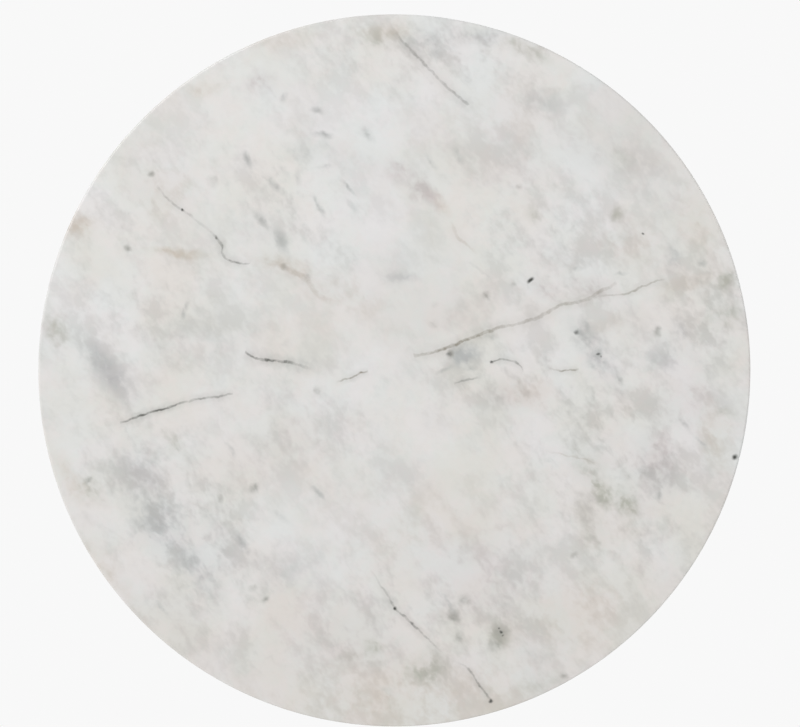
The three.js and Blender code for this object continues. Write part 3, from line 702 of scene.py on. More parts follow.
def birch_plywood():
    """Lacquered birch: a flat face with long grain, and plies that show where the edge is cut."""
    graph = Graph("birch_plywood", Specular_IOR_Level=0.4)
    height = graph.separate(graph.place)[2]
    ply = 15 * MM / 11
    depth = graph.math("SUBTRACT", height, backer_low.z - 0.05 * MM)
    layer = graph.math("FLOOR", graph.math("DIVIDE", depth, ply))
    odd = graph.math("MODULO", layer, 2)
    warp = graph.vector("SUBTRACT", graph.noise_colour(graph.place, 5, 2, 0.5), (0.5, 0.5, 0.5))
    bent = graph.vector("ADD", graph.place, graph.scaled(warp, 0.03))
    rings = graph.noise(graph.vector("MULTIPLY", bent, (1.6, 34, 1)), 1, 4, 0.6)
    fibre = graph.noise(graph.vector("MULTIPLY", graph.place, (22, 900, 60)), 1, 2, 0.6)
    pores = graph.noise(graph.vector("MULTIPLY", graph.place, (70, 1500, 60)), 1, 1, 0.5)
    colour = graph.mix(graph.spread(rings, 0.3, 0.7), linear(212, 182, 140), linear(190, 154, 108))
    colour = graph.mix(graph.spread(fibre, 0.35, 0.7, 0, 0.5), colour, linear(168, 128, 84))
    colour = graph.mix(graph.spread(pores, 0.66, 0.8, 0, 0.5), colour, linear(112, 80, 50))
    end = graph.mix(graph.spread(fibre, 0.3, 0.7), linear(150, 112, 74), linear(124, 88, 56))
    colour = graph.mix(graph.times(odd, 0.85), colour, end)
    normal = graph.bump(fibre, 0.25, 0.0002)
    return graph.finish(colour, graph.spread(rings, 0.3, 0.7, 0.42, 0.56), normal)


def powder_coat():
    """Satin black powder coat on steel: orange peel, a little dust, and rubbed edges."""
    graph = Graph("black_powder_coat", Specular_IOR_Level=0.5)
    peel = graph.noise(graph.place, 420, 2, 0.45, "3D")
    grit = graph.noise(graph.place, 1900, 1, 0.5, "3D")
    cloud = graph.noise(graph.place, 9, 4, 0.6, "3D")
    smear = graph.noise(graph.vector("MULTIPLY", graph.place, (40, 40, 9)), 1, 3, 0.6, "3D")
    colour = graph.mix(graph.spread(cloud, 0.35, 0.7), linear(33, 33, 34), linear(41, 41, 42))
    dust = graph.times(graph.spread(smear, 0.52, 0.78), graph.spread(grit, 0.3, 0.8))
    colour = graph.mix(graph.times(dust, 0.30), colour, linear(96, 93, 88))
    edge = graph.spread(graph.node("NewGeometry").outputs["Pointiness"], 0.53, 0.62)
    worn = graph.times(edge, graph.spread(cloud, 0.48, 0.62))
    colour = graph.mix(graph.times(worn, 0.5), colour, linear(84, 84, 86))
    roughness = graph.plus(graph.spread(smear, 0.3, 0.7, 0.31, 0.39), graph.times(dust, 0.15))
    relief = graph.plus(peel, graph.times(grit, 0.35))
    return graph.finish(colour, roughness, graph.bump(relief, 0.22, 0.0004))


def painted_casting():
    """Black paint on rough cast iron: a pebbled skin, thin in places."""
    graph = Graph("painted_cast_iron", Specular_IOR_Level=0.5)
    pebbles = graph.noise(graph.place, 260, 4, 0.62, "3D")
    swells = graph.noise(graph.place, 48, 2, 0.5, "3D")
    blotch = graph.noise(graph.place, 17, 4, 0.62, "3D")
    colour = graph.mix(graph.spread(blotch, 0.35, 0.68), linear(38, 38, 39), linear(53, 52, 51))
    colour = graph.mix(graph.spread(pebbles, 0.60, 0.78, 0, 0.35), colour, linear(78, 74, 70))
    thin = graph.times(graph.spread(blotch, 0.60, 0.74), graph.spread(pebbles, 0.50, 0.66))
    colour = graph.mix(graph.times(thin, 0.45), colour, linear(98, 84, 72))
    roughness = graph.spread(pebbles, 0.3, 0.7, 0.5, 0.72)
    relief = graph.plus(pebbles, graph.times(swells, 1.6))
    return graph.finish(colour, roughness, graph.bump(relief, 0.5, 0.0009))


def aged_brass():
    """Brass turned on a lathe: rings of tool marks, warm patina in the hollows, bright rubbed edges."""
    graph = Graph("aged_brass", Metallic=1.0, Specular_IOR_Level=0.5)
    axes = graph.separate(graph.place)
    squares = graph.plus(graph.times(axes[0], axes[0]), graph.times(axes[1], axes[1]))
    radius = graph.math("SQRT", squares)
    rings_per_metre = 2600
    lathe_place = {0: graph.times(radius, rings_per_metre), 1: graph.times(axes[2], rings_per_metre)}
    lathe = graph.node("CombineXYZ", lathe_place).outputs[0]
    marks = graph.noise(lathe, 1, 2, 0.6)
    patina = graph.noise(graph.place, 60, 4, 0.62, "3D")
    spots = graph.noise(graph.place, 330, 2, 0.5, "3D")
    colour = graph.mix(graph.spread(patina, 0.34, 0.68), linear(190, 152, 92), linear(160, 122, 70))
    colour = graph.mix(graph.spread(spots, 0.62, 0.76, 0, 0.55), colour, linear(104, 76, 46))
    point = graph.node("NewGeometry").outputs["Pointiness"]
    colour = graph.mix(graph.spread(point, 0.495, 0.46, 0, 0.55), colour, linear(96, 72, 46))
    colour = graph.mix(graph.spread(point, 0.52, 0.58, 0, 0.7), colour, linear(226, 192, 128))
    rough = graph.plus(graph.spread(patina, 0.3, 0.7, 0.24, 0.40), graph.spread(marks, 0.3, 0.7, -0.04, 0.06))
    return graph.finish(colour, rough, graph.bump(marks, 0.18, 0.00012))


def zinc_steel():
    """Bright zinc plate: blue-white with a faint yellow cast, and a fine crystalline skin."""
    graph = Graph("zinc_plated_steel", Metallic=1.0, Specular_IOR_Level=0.5)
    cast = graph.noise(graph.place, 75, 3, 0.6, "3D")
    skin = graph.noise(graph.place, 1300, 2, 0.6, "3D")
    colour = graph.mix(graph.spread(cast, 0.34, 0.66), linear(186, 190, 196), linear(196, 190, 172))
    colour = graph.mix(graph.spread(skin, 0.58, 0.8, 0, 0.3), colour, linear(132, 132, 134))
    polish = graph.spread(cast, 0.3, 0.7, 0.26, 0.36)
    roughness = graph.plus(polish, graph.spread(skin, 0.3, 0.7, -0.05, 0.07))
    return graph.finish(colour, roughness, graph.bump(skin, 0.15, 0.0001))


def moulded_nylon():
    """Black nylon with a fine spark-eroded grain and scuffs from the floor."""
    graph = Graph("moulded_nylon", Specular_IOR_Level=0.45)
    grain = graph.noise(graph.place, 1500, 2, 0.55, "3D")
    scuffs = graph.noise(graph.vector("MULTIPLY", graph.place, (160, 700, 300)), 1, 3, 0.6, "3D")
    colour = graph.mix(graph.spread(grain, 0.35, 0.7), linear(36, 36, 38), linear(46, 46, 48))
    colour = graph.mix(graph.spread(scuffs, 0.60, 0.74, 0, 0.5), colour, linear(92, 92, 94))
    roughness = graph.plus(graph.spread(grain, 0.3, 0.7, 0.46, 0.6), graph.spread(scuffs, 0.6, 0.74, 0, 0.12))
    return graph.finish(colour, roughness, graph.bump(grain, 0.3, 0.00015))


# The material of each slot of the CAD's record.
MATERIALS = {
    "marble": marble(),
    "birch_plywood": birch_plywood(),
    "black_steel": powder_coat(),
    "cast_iron": painted_casting(),
    "aged_brass": aged_brass(),
    "zinc_steel": zinc_steel(),
    "nylon": moulded_nylon(),
}

# ---------------------------------------------------------------- top


def marble_slab():
    """The slab: a 3 mm rounded arris above, a small one below, with rings that keep the flats flat."""
    top, bottom = slab_high.z, slab_low.z
    upper, lower, margin = 3 * MM, 1.5 * MM, 0.6 * MM
    middle = SLAB_RADIUS / 2
    profile = [(0, bottom), (middle, bottom), (SLAB_RADIUS - lower - margin, bottom)]
    profile += arc(SLAB_RADIUS - lower, bottom + lower, lower, 270, 360, 4)
    profile += [(SLAB_RADIUS, bottom + lower + margin), (SLAB_RADIUS, top - upper - margin)]
    profile += arc(SLAB_RADIUS - upper, top - upper, upper, 0, 90, 8)
    profile += [(SLAB_RADIUS - upper - margin, top), (middle, top), (0, top)]
    slab = object_of(turned(profile, 288), "marble_slab")
    return piece(slab, "table", "marble", "marble_top", sharp=50)


def ply_backer():
    """The plywood backer with a chamfered edge and its eight blind holes."""
    top, bottom = backer_high.z, backer_low.z
    chamfer, ease = 10 * MM, 0.5 * MM
    profile = [
        (0, bottom),
        (BACKER_RADIUS - chamfer - ease, bottom),
        (BACKER_RADIUS - chamfer + ease / 2, bottom + ease / 4),
        (BACKER_RADIUS - ease / 4, bottom + chamfer - ease / 2),
        (BACKER_RADIUS, bottom + chamfer + ease),
        (BACKER_RADIUS, top),
        (0, top),
    ]
    board = object_of(turned(profile, 224), "ply_backer")
    hole_radius, hole_depth = 6.3 * MM, 12.3 * MM
    holes = [
        moved(disc(hole_radius, bottom - OVERCUT, bottom + hole_depth, 32), radius, angle)
        for radius, angle in ARM_BOLT_PLACES
    ]
    cut(board, holes)
    return piece(board, "table", "birch_plywood", "backer_board", sharp=25)


# ---------------------------------------------------------------- spider

ARM_REACH = 310 * MM
ROOT_WIDTH, TIP_WIDTH, TIP_DEPTH = 60 * MM, 38 * MM, 13 * MM
HUB_RADIUS = 52 * MM
HUB_DEPTH = 36 * MM
SPIDER_WEB, SPIDER_WALL = 6 * MM, 6 * MM
hub_underside = spider_high.z - HUB_DEPTH


def arm_outline(start, inset):
    """The arm seen from above, moved in by inset. It tapers from root to tip, and its end is round."""

    def half_width(distance):
        return (ROOT_WIDTH + (TIP_WIDTH - ROOT_WIDTH) * distance / ARM_REACH) / 2 - inset

    tip_centre = ARM_REACH - TIP_WIDTH / 2
    tip = half_width(tip_centre)
    round_end = [(tip_centre + tip * math.cos(a), tip * math.sin(a))
                 for a in (math.radians(-90 + 180 * i / 16) for i in range(17))]
    return [(start, -half_width(start)), *round_end, (start, half_width(start))]


def spider_arm():
    """A channel arm: a top web and two walls that grow shallower towards the tip."""
    arm = object_of(prism(arm_outline(0, 0), hub_underside, spider_high.z), "arm")
    reach, top = ARM_REACH + OVERCUT, spider_high.z + OVERCUT
    side = [(0, hub_underside), (HUB_RADIUS, hub_underside), (reach, spider_high.z - TIP_DEPTH),
            (reach, top), (0, top)]
    half_breadth = 40 * MM  # wider than the arm
    wedge = prism(side, -half_breadth, half_breadth)
    wedge.transform(Matrix.Rotation(math.radians(90), 4, "X"))
    combine(arm, [object_of(wedge, "tool")], "INTERSECT")
    pocket_start = HUB_RADIUS + SPIDER_WALL
    pocket = arm_outline(pocket_start, SPIDER_WALL)
    cut(arm, [prism(pocket, hub_underside - OVERCUT, spider_high.z - SPIDER_WEB)])
    return arm


def spider_casting():
    """The cast spider: a hub that plugs into the column, four channel arms and a recess for the rod's nut."""
    spigot, spigot_wall, floor_height = 41.15 * MM, 8 * MM, 8 * MM
    nut_floor, bolt_hole, bolt_hole_depth = 16 * MM, 4.5 * MM, 8 * MM
    bottom = spider_low.z
    profile = [(0, bottom), (spigot, bottom), (spigot, hub_underside), (HUB_RADIUS, hub_underside),
               (HUB_RADIUS, spider_high.z), (0, spider_high.z)]
    casting = object_of(turned(profile, 96), "spider_casting")
    for angle in ARM_ANGLES:
        arm = spider_arm()
        arm.data.transform(Matrix.Rotation(math.radians(angle), 4, "Z"))
        combine(casting, [arm], "UNION")
    hollows = [
        disc(NUT_RECESS, hub_underside + nut_floor, spider_high.z + OVERCUT, 64),
        disc(ROD_HOLE, bottom - OVERCUT, spider_high.z, 40),
        disc(spigot - spigot_wall, bottom - OVERCUT, hub_underside + floor_height, 64),
    ]
    bolt_holes = [
        moved(disc(bolt_hole, spider_high.z - bolt_hole_depth, spider_high.z + OVERCUT, 24), radius, angle)
        for radius, angle in ARM_BOLT_PLACES
    ]
    cut(casting, hollows + bolt_holes)
    rounded(casting, 1.1 * MM, 2)
    return piece(casting, "table", "cast_iron", "top_spider")


WASHER_THICKNESS = 1.6 * MM
washer_top = spider_high.z - SPIDER_WEB - GAP
bolt_head_top = washer_top - WASHER_THICKNESS - GAP


def washer(inner, outer, bottom, top, name):
    ease = min(0.35 * MM, (top - bottom) / 4)
    profile = [(inner, bottom + ease), (inner + ease, bottom), (outer - ease, bottom), (outer, bottom + ease),
               (outer, top - ease), (outer - ease, top), (inner + ease, top), (inner, top - ease)]
    return object_of(turned(profile, 48, ring=True), name)


def arm_bolts():
    """The eight hexagon-head bolts and washers that hold the spider to the backer."""
    across_flats, head_height, shank, overlap = 13 * MM, 5.3 * MM, 4 * MM, 2 * MM
    bolt_top = backer_low.z + 11 * MM
    head = hexagon(across_flats, bolt_head_top - head_height, bolt_head_top, chamfer_top=False)
    join(head, [disc(shank, bolt_head_top - overlap, bolt_top, 32)])
    ring = washer(4.4 * MM, 9 * MM, washer_top - WASHER_THICKNESS, washer_top, "ring")
    for number, (radius, angle) in enumerate(ARM_BOLT_PLACES, 1):
        bolt = copied(head, f"arm_bolt_{number}", radius, angle)
        piece(bolt, "table", "zinc_steel", f"top_bolt_{number}")
        plain = copied(ring, f"arm_washer_{number}", radius, angle)
        piece(plain, "table", "zinc_steel", f"top_washer_{number}")
    discard(head)
    discard(ring)


# ---------------------------------------------------------------- column, collars and base

COLUMN_RADIUS, COLUMN_BORE = 44.45 * MM, 41.45 * MM
NECK_RADIUS, NECK_FILLET = 54 * MM, 85 * MM
COVER_RADIUS, COVER_WALL, SHOULDER, SLOPE = 279.4 * MM, 2 * MM, 12 * MM, 10
COLLAR_RADIUS, LIP_RADIUS = 59 * MM, 49 * MM
collar_bore = COLUMN_RADIUS + GAP


def column_sleeve():
    bottom, top, ease = column_low.z, column_high.z, 0.5 * MM
    profile = [(COLUMN_BORE, bottom), (COLUMN_RADIUS - ease, bottom), (COLUMN_RADIUS, bottom + ease)]
    steps = 24
    profile += [(COLUMN_RADIUS, bottom + (top - bottom) * i / steps) for i in range(1, steps)]
    profile += [(COLUMN_RADIUS, top - ease), (COLUMN_RADIUS - ease, top), (COLUMN_BORE, top)]
    sleeve = object_of(turned(profile, 128, ring=True), "column_sleeve")
    return piece(sleeve, "table", "black_steel", "column_tube")


def cover_profile(inwards):
    """The cover's outline from its lower edge to its neck, moved in by the wall or less."""
    shoulder_height = plate_high.z + 0.5 * MM - (SHOULDER - COVER_WALL)
    shoulder_radius = COVER_RADIUS - SHOULDER
    slope = math.radians(SLOPE)
    start = arc(shoulder_radius, shoulder_height, SHOULDER, 0, 90 - SLOPE, 1)[1]
    fillet_radius = NECK_RADIUS + NECK_FILLET
    end_radius = fillet_radius - NECK_FILLET * math.sin(slope)
    end_height = start[1] + (start[0] - end_radius) * math.tan(slope)
    fillet_height = end_height + NECK_FILLET * math.cos(slope)
    shoulder = arc(shoulder_radius, shoulder_height, SHOULDER - inwards, 0, 90 - SLOPE, 10)
    fillet = arc(fillet_radius, fillet_height, NECK_FILLET + inwards, 270 - SLOPE, 180, 22)
    (r0, z0), (r1, z1) = shoulder[-1], fillet[0]
    steps = 10
    cone = [(r0 + (r1 - r0) * i / steps, z0 + (z1 - z0) * i / steps) for i in range(1, steps)]
    lower_edge, neck = (COVER_RADIUS - inwards, cover_low.z), (NECK_RADIUS - inwards, cover_high.z)
    return [lower_edge, *shoulder, *cone, *fillet, neck]


def base_shell():
    """The spun steel cover, with a small roll at its lower edge."""
    outer, inner = cover_profile(0), cover_profile(COVER_WALL)
    middle = COVER_RADIUS - COVER_WALL / 2
    roll = arc(middle, cover_low.z + COVER_WALL / 2, COVER_WALL / 2, 180, 360, 8)
    shell = object_of(turned([*roll, *outer[1:], *inner[:0:-1]], 208, ring=True), "base_shell")
    return piece(shell, "table", "black_steel", "base_cover", sharp=40)


def collar_profile(wide, narrow):
    """A collar's outline: an eased edge, a band, a bead line, a cove and a lip."""
    up = 1 if narrow > wide else -1
    ease, groove, line, lip = 0.8 * MM, 0.4 * MM, 1.2 * MM, 2.2 * MM
    band_end = wide + up * COLLAR_BAND
    cove = COLLAR_RADIUS - LIP_RADIUS
    points = [(COLLAR_RADIUS - ease, wide), (COLLAR_RADIUS - ease * 0.3, wide + up * ease * 0.3),
              (COLLAR_RADIUS, wide + up * ease), (COLLAR_RADIUS, band_end - up * line),
              (COLLAR_RADIUS - ease * 0.3, band_end - up * groove), (COLLAR_RADIUS - ease, band_end)]
    hollow = arc(COLLAR_RADIUS, band_end + up * cove, cove, -90 * up, -180 * up, 16)
    sweep = [(r - ease * 0.4, z) for r, z in hollow]
    points += [(r, z) for r, z in sweep if r < COLLAR_RADIUS - ease * 1.2]
    points += [(LIP_RADIUS, narrow - up * lip), (LIP_RADIUS, narrow - up * groove),
               (LIP_RADIUS - groove, narrow)]
    return points


def screw_hole(height):
    radius, past = 2.8 * MM, 2 * MM
    drill = laid_along_x(disc(radius, collar_bore - past, COLLAR_RADIUS + past, 32), height)
    drill.transform(Matrix.Rotation(math.radians(SCREW_ANGLE), 4, "Z"))
    return drill


def collars():
    """The two brass collars, the lower with a spigot that centres the cover's neck."""
    low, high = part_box("lower_collar")
    seat = high.z - COLLAR_HEIGHT
    spigot = NECK_RADIUS - COVER_WALL - GAP
    profile = [(collar_bore, low.z), (spigot - 0.4 * MM, low.z), (spigot, low.z + 0.4 * MM), (spigot, seat),
               *collar_profile(seat, high.z), (collar_bore, high.z)]
    lower = object_of(turned(profile, 128, ring=True), "brass_lower_collar")
    cut(lower, [screw_hole(seat + COLLAR_BAND / 2)])
    piece(lower, "table", "aged_brass", "lower_collar", sharp=40)

    low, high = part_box("upper_collar")
    profile = [(collar_bore, low.z), *reversed(collar_profile(high.z, low.z)), (collar_bore, high.z)]
    upper = object_of(turned(profile, 128, ring=True), "brass_upper_collar")
    cut(upper, [screw_hole(high.z - COLLAR_BAND / 2)])
    piece(upper, "table", "aged_brass", "upper_collar", sharp=40)


def set_screw(node, name):
    """A cup-point grub screw with a hexagon socket in its outer end."""
    low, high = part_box(node)
    inner, outer, height = low.y, high.y, (low.z + high.z) / 2
    radius, ease = 2.5 * MM, 0.4 * MM
    profile = [(0, inner + 0.5 * MM), (1.2 * MM, inner), (radius - ease, inner), (radius, inner + ease),
               (radius, outer - ease), (radius - ease, outer), (0, outer)]
    screw = object_of(turned(profile, 32), name)
    socket, socket_depth = 2.5 * MM, 3 * MM
    cut(screw, [prism(hex_outline(socket), outer - socket_depth, outer + OVERCUT)])
    screw.data.transform(Matrix.Rotation(math.radians(SCREW_ANGLE), 4, "Z")
                         @ Matrix.Translation((0, 0, height)) @ Matrix.Rotation(math.radians(90), 4, "Y"))
    return piece(screw, "table", "zinc_steel", node)


def ballast_plate():
    """The plate under the cover, drilled for screws and glides and recessed for the rod's lower nut."""
    radius, bottom, top = 274 * MM, plate_low.z, plate_high.z
    recess_top, lower, upper = bottom + 12 * MM, 3 * MM, 6 * MM
    profile = [(NUT_RECESS, bottom), (radius - lower, bottom), (radius, bottom + lower),
               (radius, top - upper), (radius - upper, top), (ROD_HOLE, top), (ROD_HOLE, recess_top),
               (NUT_RECESS, recess_top)]
    plate = object_of(turned(profile, 192, ring=True), "ballast_plate")
    head, shank, depth, bush = 7.8 * MM, 4.3 * MM, 4.7 * MM, 7.3 * MM
    sink = [(0, bottom - GAP), (head, bottom - GAP), (shank, bottom + depth - GAP), (shank, top + OVERCUT),
            (0, top + OVERCUT)]
    screw_holes = [moved(turned(sink, 32), SOCKET_SCREW_CIRCLE, angle) for angle in ARM_ANGLES]
    bush_holes = [
        moved(disc(bush, bottom - OVERCUT, top + OVERCUT, 40), GLIDE_CIRCLE, angle)
        for angle in GLIDE_ANGLES
    ]
    cut(plate, screw_holes + bush_holes)
    return piece(plate, "table", "cast_iron", "base_plate", sharp=25)


def socket_screws():
    """The countersunk screws that go up into the column socket, each with a hexagon recess."""
    low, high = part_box("socket_screw_1")
    radius, head, countersink, ease = 4 * MM, 7.5 * MM, 4.4 * MM, 0.3 * MM
    profile = [(0, low.z), (head - ease, low.z), (head, low.z + ease), (radius, low.z + countersink),
               (radius, high.z - 1 * MM), (radius - 1 * MM, high.z), (0, high.z)]
    screw = object_of(turned(profile, 32), "screw")
    socket, socket_depth = 5 * MM, 3.2 * MM
    cut(screw, [prism(hex_outline(socket), low.z - OVERCUT, low.z + socket_depth)])
    for number, angle in enumerate(ARM_ANGLES, 1):
        made = copied(screw, f"flange_screw_{number}", SOCKET_SCREW_CIRCLE, angle)
        piece(made, "table", "zinc_steel", f"socket_screw_{number}")
    discard(screw)


# ---------------------------------------------------------------- tie rod


def threaded_rod():
    """An M16 rod with threads rolled at both ends."""
    low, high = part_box("tie_rod")
    radius, pitch, depth, length, point = 8 * MM, 2 * MM, 1.1 * MM, 46 * MM, 1.5 * MM

    def ends(r, z, angle):
        for start, stop in ((low.z + point, low.z + length), (high.z - length, high.z - point)):
            if start - TOLERANCE <= z <= stop + TOLERANCE:
                return thread_radius(pitch, depth, start, stop, pitch)(r, z, angle)
        return r

    profile = [(0, low.z), (radius - point, low.z)]
    profile += thread_profile(low.z + point, low.z + length, pitch, radius)
    profile += [(radius, low.z + length + 1 * MM), (radius, high.z - length - 1 * MM)]
    profile += thread_profile(high.z - length, high.z - point, pitch, radius)
    profile += [(radius - point, high.z), (0, high.z)]
    rod = object_of(turned(profile, 36, radius_at=ends), "threaded_tie_rod")
    return piece(rod, "table", "zinc_steel", "tie_rod", sharp=60)


def rod_hardware():
    """The nut and washer at each end of the tie rod."""
    for end in ("upper", "lower"):
        low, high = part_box(f"{end}_rod_washer")
        ring = washer(ROD_HOLE, 17 * MM, low.z, high.z, f"{end}_tie_washer")
        piece(ring, "table", "zinc_steel", f"{end}_rod_washer")
        low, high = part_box(f"{end}_rod_nut")
        nut = hexagon(24 * MM, low.z, high.z)
        nut.name = f"{end}_tie_nut"
        sink, bore, slant = 9.2 * MM, 8.3 * MM, 0.8 * MM
        profile = [(0, low.z - OVERCUT), (sink, low.z - OVERCUT), (sink, low.z), (bore, low.z + slant),
                   (bore, high.z - slant), (sink, high.z), (sink, high.z + OVERCUT), (0, high.z + OVERCUT)]
        cut(nut, [turned(profile, 40)])
        piece(nut, "table", "zinc_steel", f"{end}_rod_nut")


# ---------------------------------------------------------------- glides


def glide_bush_mesh(low, high):
    bore, radius, flange, ease = 5.3 * MM, 7 * MM, 11 * MM, 0.4 * MM
    flange_top = low.z + 1.4 * MM
    profile = [(bore, low.z + ease), (bore + ease, low.z), (flange - ease, low.z), (flange, low.z + ease),
               (flange, flange_top), (radius, flange_top), (radius, high.z), (bore + ease, high.z),
               (bore, high.z - ease)]
    return object_of(turned(profile, 48, ring=True), "bush")


def glide_stud_mesh(low, high):
    """A round head, a hexagon for the spanner and a threaded M10 shank."""
    across_flats, head_radius, overlap = 15 * MM, 8 * MM, 0.6 * MM
    hex_bottom, hex_top = low.z + 2.5 * MM, low.z + 6.5 * MM
    stud = hexagon(across_flats, hex_bottom, hex_top)
    head_top = hex_bottom + overlap
    head_profile = [(0, low.z), (head_radius - 1 * MM, low.z), (head_radius - 0.3 * MM, low.z + 0.3 * MM),
                    (head_radius, low.z + 1 * MM), (head_radius, head_top), (0, head_top)]
    head = turned(head_profile, 48)
    radius, pitch, depth, point = 5 * MM, 1.5 * MM, 0.85 * MM, 1 * MM
    start, stop = hex_top + 1 * MM, high.z - point
    profile = [(0, hex_top - 1 * MM), (radius - depth, hex_top - 1 * MM), (radius - depth, start)]
    profile += thread_profile(start, stop, pitch, radius)[1:]
    profile += [(radius - depth - point / 2, high.z), (0, high.z)]
    shape = thread_radius(pitch, depth, start, stop, pitch / 2)
    shank = turned(profile, 40, radius_at=lambda r, z, a: shape(r, z, a) if r == radius else r)
    return join(stud, [head, shank])


def glide_pad_mesh(low, high):
    """A moulded foot: a rounded edge, a shallow groove round its side and a cup for the stud's head."""
    radius, cup, edge, groove, ease = 16 * MM, 8.3 * MM, 1.5 * MM, 0.5 * MM, 0.4 * MM
    bottom, top = low.z, high.z
    cup_floor = bottom + 3.5 * MM
    profile = [(0, bottom), (radius - 2.1 * MM, bottom),
               *arc(radius - edge, bottom + edge, edge, 270, 360, 5),
               (radius, bottom + 2.1 * MM), (radius - groove, bottom + 2.4 * MM),
               (radius - groove, bottom + 2.9 * MM), (radius, bottom + 3.2 * MM),
               (radius, top - 2 * MM), (radius - 1 * MM, top - 0.9 * MM), (radius - 3 * MM, top),
               (cup + ease, top), (cup, top - ease), (cup, cup_floor), (0, cup_floor)]
    return object_of(turned(profile, 64), "pad")


def glides():
    """Four levelling glides: the bush stays in the plate, the stud turns and the pad goes down with it."""
    makers = (("glide_bush", "steel_bush", glide_bush_mesh, "zinc_steel"),
              ("glide_stud", "levelling_stud", glide_stud_mesh, "zinc_steel"),
              ("glide_pad", "moulded_foot", glide_pad_mesh, "nylon"))
    for node, name, maker, slot in makers:
        low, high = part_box(f"{node}_1")
        pattern = maker(low, high)
        for number, angle in enumerate(GLIDE_ANGLES, 1):
            made = copied(pattern, f"{name}_{number}", GLIDE_CIRCLE, angle)
            body = {"glide_bush": "table", "glide_stud": f"stud_{number}", "glide_pad": f"pad_{number}"}[node]
            piece(made, body, slot, f"{node}_{number}", sharp=35)
        discard(pattern)


# ---------------------------------------------------------------- CAD nodes that are shown as they are


def finish_cad_nodes():
    """The hidden fasteners and the column socket keep their CAD shapes and get the finished materials."""
    slots = {"column_socket": "cast_iron"}
    slots.update({f"backer_insert_{number}": "zinc_steel" for number in range(1, 9)})
    for node, slot in slots.items():
        for material_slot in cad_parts[node].material_slots:
            material_slot.material = MATERIALS[slot]


# ---------------------------------------------------------------- studio

FLOOR_RADIUS = 60
FLOOR_BRIGHTNESS = 0.94
SHADOW_CORE, SHADOW_EDGE = 0.30, 0.60  # distances from the middle
SHADOW_SHARE = 0.62  # how much of the shadowed paper shows there
LIGHT_FROM_BELOW, LIGHT_FROM_ABOVE = 0.38, 0.62
LIT_SIDE = 200  # degrees anticlockwise from +X
SIDE_CONTRAST = (0.45, 1.55)  # how strong the light is from the far side and from the lit side
CAMERA_BESIDE, CAMERA_BACK, CAMERA_ABOVE = 7.26 * MM, 8.78 * MM, 2421.4 * MM  # from the middle of the top


def floor():
    """A pale floor. It glows evenly beside the top, and takes soft shadows near the base."""
    graph = Graph("studio_floor")
    tree = graph.tree
    distance = graph.length(graph.vector("MULTIPLY", graph.place, (1, 1, 0)))
    share = graph.spread(distance, SHADOW_CORE, SHADOW_EDGE, SHADOW_SHARE, 0.0, True)
    glow = graph.node("Emission", {"Color": (FLOOR_BRIGHTNESS,) * 3 + (1,), "Strength": 1}).outputs[0]
    paper = graph.node("BsdfDiffuse", {"Color": (0.82, 0.82, 0.82, 1)}).outputs[0]
    shown = graph.node("MixShader", {0: share, 1: glow, 2: paper}).outputs[0]
    clear = graph.node("BsdfTransparent").outputs[0]
    back = graph.node("NewGeometry").outputs["Backfacing"]
    both = graph.node("MixShader", {0: back, 1: shown, 2: clear}).outputs[0]
    tree.links.new(both, tree.nodes["Material Output"].inputs["Surface"])
    tree.nodes.remove(graph.shader)
    sheet = object_of(turned([(0, 0), (1.0, 0), (FLOOR_RADIUS, 0)], 96), "studio_floor")
    if sheet.data.polygons[0].normal.z < 0:
        sheet.data.flip_normals()
    sheet.data.materials.append(graph.material)


def area_light(name, azimuth, elevation, distance, size, watts, target=(0, 0, 0.4)):
    """A soft box seen from the target at that azimuth, anticlockwise from +X, and elevation."""
    data = bpy.data.lights.new(name, "AREA")
    data.shape = "SQUARE"
    data.size = size
    data.energy = watts
    light = bpy.data.objects.new(name, data)
    across, up = math.radians(azimuth), math.radians(elevation)
    direction = Vector((math.cos(across) * math.cos(up), math.sin(across) * math.cos(up), math.sin(up)))
    light.location = Vector(target) + direction * distance
    light.rotation_euler = direction.to_track_quat("Z", "Y").to_euler()
    bpy.context.scene.collection.objects.link(light)


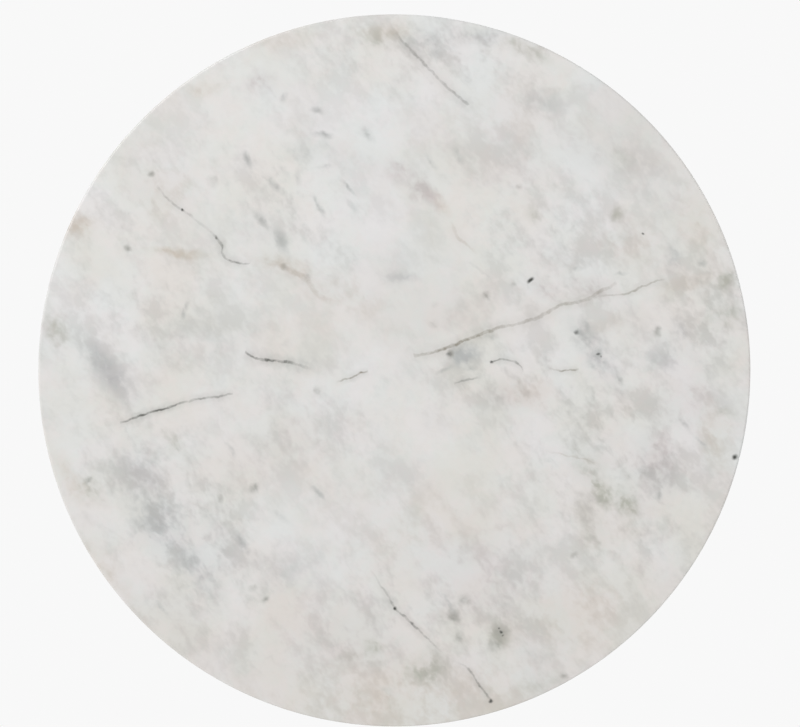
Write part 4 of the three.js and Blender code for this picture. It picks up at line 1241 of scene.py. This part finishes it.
def surroundings():
    """Soft light from all round, brighter from above and from one side.

    The camera sees it as the floor's grey."""
    world = bpy.data.worlds.new("studio")
    bpy.context.scene.world = world
    world.use_nodes = True
    tree = world.node_tree
    tree.nodes.clear()

    def node(kind, **settings):
        made = tree.nodes.new("ShaderNode" + kind)
        for name, value in settings.items():
            setattr(made, name, value)
        return made

    def ramp(direction, low, high, to_low, to_high):
        """A smooth change along a direction."""
        along = node("VectorMath", operation="DOT_PRODUCT")
        tree.links.new(sky, along.inputs[0])
        along.inputs[1].default_value = direction
        made = node("MapRange", interpolation_type="SMOOTHSTEP", clamp=False)
        tree.links.new(along.outputs["Value"], made.inputs[0])
        for index, value in enumerate((low, high, to_low, to_high), 1):
            made.inputs[index].default_value = value
        return made.outputs[0]

    sky = node("TexCoord").outputs["Generated"]
    side = math.radians(LIT_SIDE)
    strength = node("Math", operation="MULTIPLY")
    tree.links.new(ramp((0, 0, 1), -0.2, 0.9, LIGHT_FROM_BELOW, LIGHT_FROM_ABOVE), strength.inputs[0])
    tree.links.new(ramp((math.cos(side), math.sin(side), 0), -0.9, 0.9, *SIDE_CONTRAST), strength.inputs[1])
    lighting, seen = node("Background"), node("Background")
    tree.links.new(strength.outputs[0], lighting.inputs["Strength"])
    lighting.inputs["Color"].default_value = (1, 1, 1, 1)
    seen.inputs["Color"].default_value = (FLOOR_BRIGHTNESS,) * 3 + (1,)
    choice, output = node("MixShader"), node("OutputWorld")
    tree.links.new(node("LightPath").outputs["Is Camera Ray"], choice.inputs[0])
    tree.links.new(lighting.outputs[0], choice.inputs[1])
    tree.links.new(seen.outputs[0], choice.inputs[2])
    tree.links.new(choice.outputs[0], output.inputs["Surface"])


def camera():
    """Straight above the top and a little back and to the right of its middle, with +Y up in the picture."""
    data = bpy.data.cameras.new("camera")
    data.lens, data.sensor_width = 85, 36
    data.clip_start, data.clip_end = 0.05, 100
    made = bpy.data.objects.new("camera", data)
    made.location = (CAMERA_BESIDE, CAMERA_BACK, slab_high.z + CAMERA_ABOVE)
    bpy.context.scene.collection.objects.link(made)
    bpy.context.scene.camera = made


def studio():
    bpy.context.scene.view_settings.view_transform = "Standard"
    camera()
    surroundings()
    area_light("key", azimuth=135, elevation=50, distance=5.0, size=3.0, watts=102)
    area_light("fill", azimuth=-50, elevation=35, distance=3.2, size=2.0, watts=14)
    area_light("rim", azimuth=20, elevation=20, distance=3.0, size=1.2, watts=8)
    floor()


# ---------------------------------------------------------------- making it all

studio()
marble_slab()
ply_backer()
spider_casting()
arm_bolts()
column_sleeve()
base_shell()
collars()
set_screw("upper_collar_screw", "upper_grub_screw")
set_screw("lower_collar_screw", "lower_grub_screw")
ballast_plate()
socket_screws()
threaded_rod()
rod_hardware()
glides()
finish_cad_nodes()
